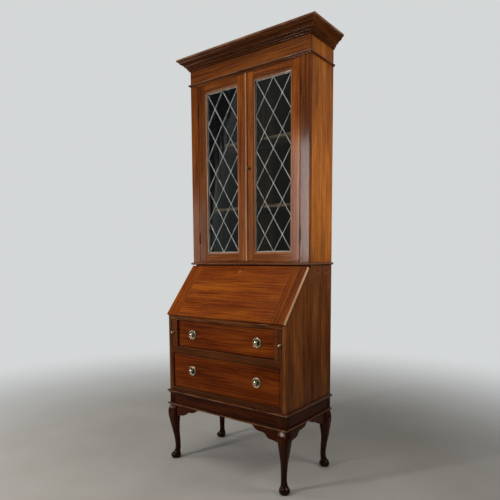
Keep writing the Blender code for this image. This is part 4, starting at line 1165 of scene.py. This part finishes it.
def door(side_name):
    node, body, look = f"door_frame_{side_name}", f"door_{side_name}", "door_oak"
    x, y, z = sides(node)
    for edge, span in (("left", (x[0], x[0] + STILE)), ("right", (x[1] - STILE, x[1]))):
        board(f"{body}_stile_{edge}", (span, y, z), Z, Y, look, node, body, 0.0010)
    between = shrink(x, STILE + JOINT_LINE)
    for edge, span in (("foot", (z[0], z[0] + DOOR_RAIL)), ("head", (z[1] - DOOR_RAIL, z[1]))):
        board(f"{body}_rail_{edge}", (between, y, span), X, Y, look, node, body, 0.0006)
    height = shrink(z, DOOR_RAIL + JOINT_LINE)
    ovolo = [(0.0006 + (SIGHT - 0.0016) * (1 - math.cos(a)),
              0.0008 + (SIGHT_DEPTH - 0.0012) * math.sin(a))
             for a in (math.pi / 2 * i / 7 for i in range(8))]
    section = [(0.0, 0.0004), (0.0006, 0.0004), *ovolo, (SIGHT, SIGHT_DEPTH),
               (SIGHT, REBATE_DEPTH), (SIGHT - REBATE, REBATE_DEPTH),
               (SIGHT - REBATE, y[1] - y[0]), (0.0, y[1] - y[0])]
    # The sight moulding's pale wood is a painted highlight where it catches the light.
    mitred(f"{body}_moulding", between, height, y[0], section, "reveal_oak", node, body)
    bead = [(SIGHT - REBATE + GAP, 0.0183), (SIGHT - 0.0015, 0.0183), (SIGHT - 0.0005, 0.0192),
            (SIGHT - 0.0020, 0.0218), (SIGHT - REBATE + GAP, 0.0218)]
    mitred(f"{body}_glazing_bead", between, height, y[0], bead, look, None, body)
    leaded_light(side_name, shrink(between, SIGHT), shrink(height, SIGHT))
    pin = joint(f"door_hinge_{side_name}")["pos_m"][:2]
    for end, foot in (("lower", z[0] + 0.090), ("upper", z[1] - 0.150)):
        door_hinge(f"door_hinge_{side_name}_{end}", body, pin, foot)


def door_hinge(name, body, pin, foot):
    """Five brass knuckles on a pin, of a hinge whose leaves are let into frame and door."""
    length = 0.058
    for i in range(5):
        low = foot + i * length / 5
        rod(f"{name}_knuckle_{i + 1}", 2, (low, low + length / 5 - 0.0002), pin,
            (0.0026, 0.0003, 18), "hinge_brass", None, body if i % 2 else "carcass")


# ---- leaded lights ----
CAME = 0.0044
CAME_RISE = 0.00215
BORDER = 0.009
DIAMONDS = (2, 5)       # across and high


def clip(polygon, normal, offset):
    """The part of a convex polygon where normal . point <= offset."""
    kept = []
    for a, b in zip(polygon, polygon[1:] + polygon[:1]):
        da = normal[0] * a[0] + normal[1] * a[1] - offset
        db = normal[0] * b[0] + normal[1] * b[1] - offset
        if da <= 0:
            kept.append(a)
        if da * db < 0:
            t = da / (da - db)
            kept.append((a[0] + t * (b[0] - a[0]), a[1] + t * (b[1] - a[1])))
    return kept


def came(bm, start, stop, middle_y, width=CAME, rise=CAME_RISE):
    """A domed lead strip between two (x, z) points, its ribs showing on both faces."""
    run = Vector((stop[0] - start[0], 0, stop[1] - start[1])).normalized()
    sideways = Y.cross(run)
    half = width / 2
    section = [(-half, -0.35), (-half * 0.78, -0.78), (-half * 0.4, -0.96), (0.0, -1.0),
               (half * 0.4, -0.96), (half * 0.78, -0.78), (half, -0.35), (half, 0.35),
               (half * 0.78, 0.78), (half * 0.4, 0.96), (0.0, 1.0), (-half * 0.4, 0.96),
               (-half * 0.78, 0.78), (-half, 0.35)]
    rims = []
    for end in (start, stop):
        place = Vector((end[0], middle_y, end[1]))
        rims.append([place + sideways * u + Y * (v * rise) for u, v in section])
    add_loft(bm, rims)


def solder(bm, x, z, middle_y, radius):
    """A flat drop of solder over a crossing, on both faces."""
    rims = []
    for share, lift in ((0.62, -1.12), (0.88, -1.02), (1.0, -0.7), (1.0, 0.7), (0.88, 1.02),
                        (0.62, 1.12)):
        rims.append([(x + radius * share * math.cos(a), middle_y + lift * CAME_RISE,
                      z + radius * share * math.sin(a))
                     for a in (2 * math.pi * i / 14 for i in range(14))])
    add_loft(bm, rims)


def leaded_light(side_name, sight_x, sight_z):
    """Diamond quarries of old glass in lead cames."""
    node = f"leaded_light_{side_name}"
    body = f"door_{side_name}"
    full = sides(node)
    middle_y = sum(full[1]) / 2
    wide = (sight_x[1] - sight_x[0]) / DIAMONDS[0]
    high = (sight_z[1] - sight_z[0]) / DIAMONDS[1]
    luck = random.Random(node)
    inner_x, inner_z = shrink(full[0], BORDER * 0.6), shrink(full[2], BORDER * 0.6)
    box = [(inner_x[0], inner_z[0]), (inner_x[1], inner_z[0]), (inner_x[1], inner_z[1]),
           (inner_x[0], inner_z[1])]
    slant = math.hypot(1 / wide, 1 / high)
    rising = (1 / wide / slant, 1 / high / slant)
    falling = (1 / wide / slant, -1 / high / slant)
    starts = (sight_x[0] / wide + sight_z[0] / high, sight_x[0] / wide - sight_z[0] / high)

    quarries = bmesh.new()
    lap = CAME / 2 - 0.0014
    for a in range(-1, sum(DIAMONDS) + 1):
        for b in range(-DIAMONDS[1] - 1, DIAMONDS[0] + 1):
            shape = box
            for normal, step, start in ((rising, a, starts[0]), (falling, b, starts[1])):
                shape = clip(shape, normal, (start + step + 1) / slant - lap)
                shape = clip(shape, (-normal[0], -normal[1]), -(start + step) / slant - lap)
            if len(shape) > 2:
                quarry(quarries, shape, middle_y, luck)
    sharp(piece(f"glass_quarries_{side_name}", quarries, "leaded_glass", node, body), 30)

    cames = bmesh.new()
    for normal, start, steps in ((rising, starts[0], range(0, sum(DIAMONDS) + 1)),
                                 (falling, starts[1], range(-DIAMONDS[1], DIAMONDS[0] + 1))):
        for step in steps:
            place = (start + step) / slant
            line = clip(clip(box, normal, place + 0.00002), (-normal[0], -normal[1]),
                        -place + 0.00002)
            if len(line) > 2:
                ends = (min(line, key=lambda point: point[1]), max(line, key=lambda point: point[1]))
                if math.dist(*ends) > CAME:
                    came(cames, *ends, middle_y)
    for i in range(2 * DIAMONDS[0] + 1):
        for j in range(2 * DIAMONDS[1] + 1):
            if (i + j) % 2 == 0:
                solder(cames, sight_x[0] + i * wide / 2, sight_z[0] + j * high / 2, middle_y,
                       0.0046 * luck.uniform(0.92, 1.10))
    edge_x, edge_z = shrink(full[0], BORDER / 2), shrink(full[2], BORDER / 2)
    for z in edge_z:
        came(cames, (full[0][0], z), (full[0][1], z), middle_y, BORDER)
    for x in edge_x:
        came(cames, (x, full[2][0]), (x, full[2][1]), middle_y, BORDER)
    sharp(piece(f"lead_cames_{side_name}", cames, "lead", node, body), 60)


def quarry(bm, shape, middle_y, luck):
    """One pane of glass, tilted a little as the lead holds it."""
    centre_x = sum(point[0] for point in shape) / len(shape)
    centre_z = sum(point[1] for point in shape) / len(shape)
    tilt_x, tilt_z = luck.uniform(-0.003, 0.003), luck.uniform(-0.002, 0.002)
    rims = []
    for lift in (-0.0011, 0.0011):
        rims.append([(px, middle_y + lift + (px - centre_x) * tilt_x + (pz - centre_z) * tilt_z, pz)
                     for px, pz in shape])
    add_loft(bm, rims)


def door_fittings():
    x, y, z = sides("meeting_bead")
    half = (x[1] - x[0]) / 2
    reach_out = y[1] - y[0]
    face = [(x[0] + half + half * math.cos(a), y[1] - reach_out * math.sin(a) ** 0.6)
            for a in (math.pi * i / 16 for i in range(17))]
    bm = bmesh.new()
    add_loft(bm, [[(px, py, end) for px, py in face] for end in z])
    # The meeting bead's pale wood is a painted highlight.
    made = piece("meeting_bead_length", bm, "reveal_oak", "meeting_bead", "door_right")
    wooden(sharp(made, 40), Z, Y)
    small_knob("door_knob", "door_right", "dark_brass")


# ---- camera, light and floor ----
def camera():
    data = bpy.data.cameras.new("camera")
    data.sensor_width = 36.0
    data.lens = 36.0 * 484.2 / 500
    data.shift_y = 0.11
    made = bpy.data.objects.new("camera", data)
    bpy.context.scene.collection.objects.link(made)
    turn, tilt, roll = math.radians(37.246), math.radians(5.505), math.radians(-0.338)
    ahead = Vector((-math.sin(turn) * math.cos(tilt), math.cos(turn) * math.cos(tilt),
                    -math.sin(tilt)))
    level = Vector((math.cos(turn), math.sin(turn), 0.0))
    up = level.cross(ahead)
    right = level * math.cos(roll) + up * math.sin(roll)
    up = up * math.cos(roll) - level * math.sin(roll)
    axes = Matrix((right, up, -ahead)).transposed()
    made.matrix_world = Matrix.Translation((1.4685, -1.9076, 1.0411)) @ axes.to_4x4()
    bpy.context.scene.camera = made


def lamp(name, place, target, size, power, colour=(1.0, 1.0, 1.0)):
    data = bpy.data.lights.new(name, "AREA")
    data.shape = "RECTANGLE"
    data.size, data.size_y = size
    data.energy = power
    data.color = colour
    made = bpy.data.objects.new(name, data)
    bpy.context.scene.collection.objects.link(made)
    aim = Vector(target) - Vector(place)
    made.matrix_world = Matrix.Translation(place) @ aim.to_track_quat("-Z", "Y").to_matrix().to_4x4()


WALL = 0.68             # how bright the backdrop looks


def pale_world():
    """An even pale backdrop that lights the desk from behind it and from before it."""
    g = Graph("studio", bpy.data.worlds)
    direction = g.node("ShaderNodeTexCoord").outputs["Generated"]
    towards = g.vector("DOT_PRODUCT", direction, (-0.6, 0.8, 0.0), "Value")
    behind = g.fade(towards, 0.35, 0.85, 0.0, 0.58)
    before = g.fade(towards, -0.45, -0.95, 0.0, 0.30)
    light = g.maths("ADD", g.maths("ADD", behind, before), 0.12)
    seen = g.node("ShaderNodeLightPath").outputs["Is Camera Ray"]
    more = g.maths("MULTIPLY", seen, g.maths("SUBTRACT", WALL, light))
    g.put(g.maths("ADD", light, more), g.tree.nodes["Background"].inputs["Strength"])
    g.put((0.97, 1.0, 1.0, 1.0), g.tree.nodes["Background"].inputs["Color"])
    bpy.context.scene.world = g.material


def pale_floor():
    """A pale floor that turns into the backdrop further from the desk, for the camera only."""
    g = Graph("pale_floor")
    place = g.node("ShaderNodeTexCoord").outputs["Object"]
    soft = g.noise(place, (2.0, 2.0, 2.0), 4.0)
    near = g.ramp(soft, [(0.3, (0.40, 0.375, 0.34)), (0.7, (0.46, 0.435, 0.40))])
    distance = g.vector("LENGTH", place, (0.0, 0.0, 0.0), "Value")
    far = g.fade(distance, 0.9, 3.4, 0.0, 1.0)
    g.put(g.blend(far, near, (0.0, 0.0, 0.0)), g.shader.inputs["Base Color"])
    seen = g.node("ShaderNodeLightPath").outputs["Is Camera Ray"]
    g.put((0.97, 1.0, 1.0, 1.0), g.shader.inputs["Emission Color"])
    g.put(g.maths("MULTIPLY", g.maths("MULTIPLY", far, WALL), seen),
          g.shader.inputs["Emission Strength"])
    g.plain(Roughness=0.7, Specular_IOR_Level=0.0)
    return g.material


def studio():
    pale_world()
    lamp("ceiling", (-0.5, -1.3, 3.6), (-0.1, -0.1, 0.9), (2.0, 1.6), 28, (1.0, 0.97, 0.93))
    lamp("right", (1.32, 0.25, 1.46), (0.36, 0.15, 1.42), (0.5, 0.5), 8.5, (1.0, 0.97, 0.94))
    lamp("left", (-2.0, -1.35, 1.15), (-0.1, 0.0, 0.95), (0.7, 0.9), 10, (1.0, 0.99, 0.98))
    lamp("left_window", (-1.06, -2.4, 1.60), (0.3, 0.0, 1.2), (0.18, 1.2), 27, (1.0, 0.99, 0.99))

    bm = bmesh.new()
    bmesh.ops.create_grid(bm, x_segments=1, y_segments=1, size=60.0)
    mesh = bpy.data.meshes.new("studio_floor")
    bm.to_mesh(mesh)
    bm.free()
    mesh.materials.append(pale_floor())
    floor = bpy.data.objects.new("studio_floor", mesh)
    bpy.context.scene.collection.objects.link(floor)
    bpy.context.scene.view_settings.view_transform = "Standard"


stand()
bureau()
drawer("upper_drawer", False)
drawer("lower_drawer", True)
lopers()
fall()
interior()
bookcase()
for side_name, _ in SIDES:
    door(side_name)
door_fittings()
settle_wood()
camera()
studio()
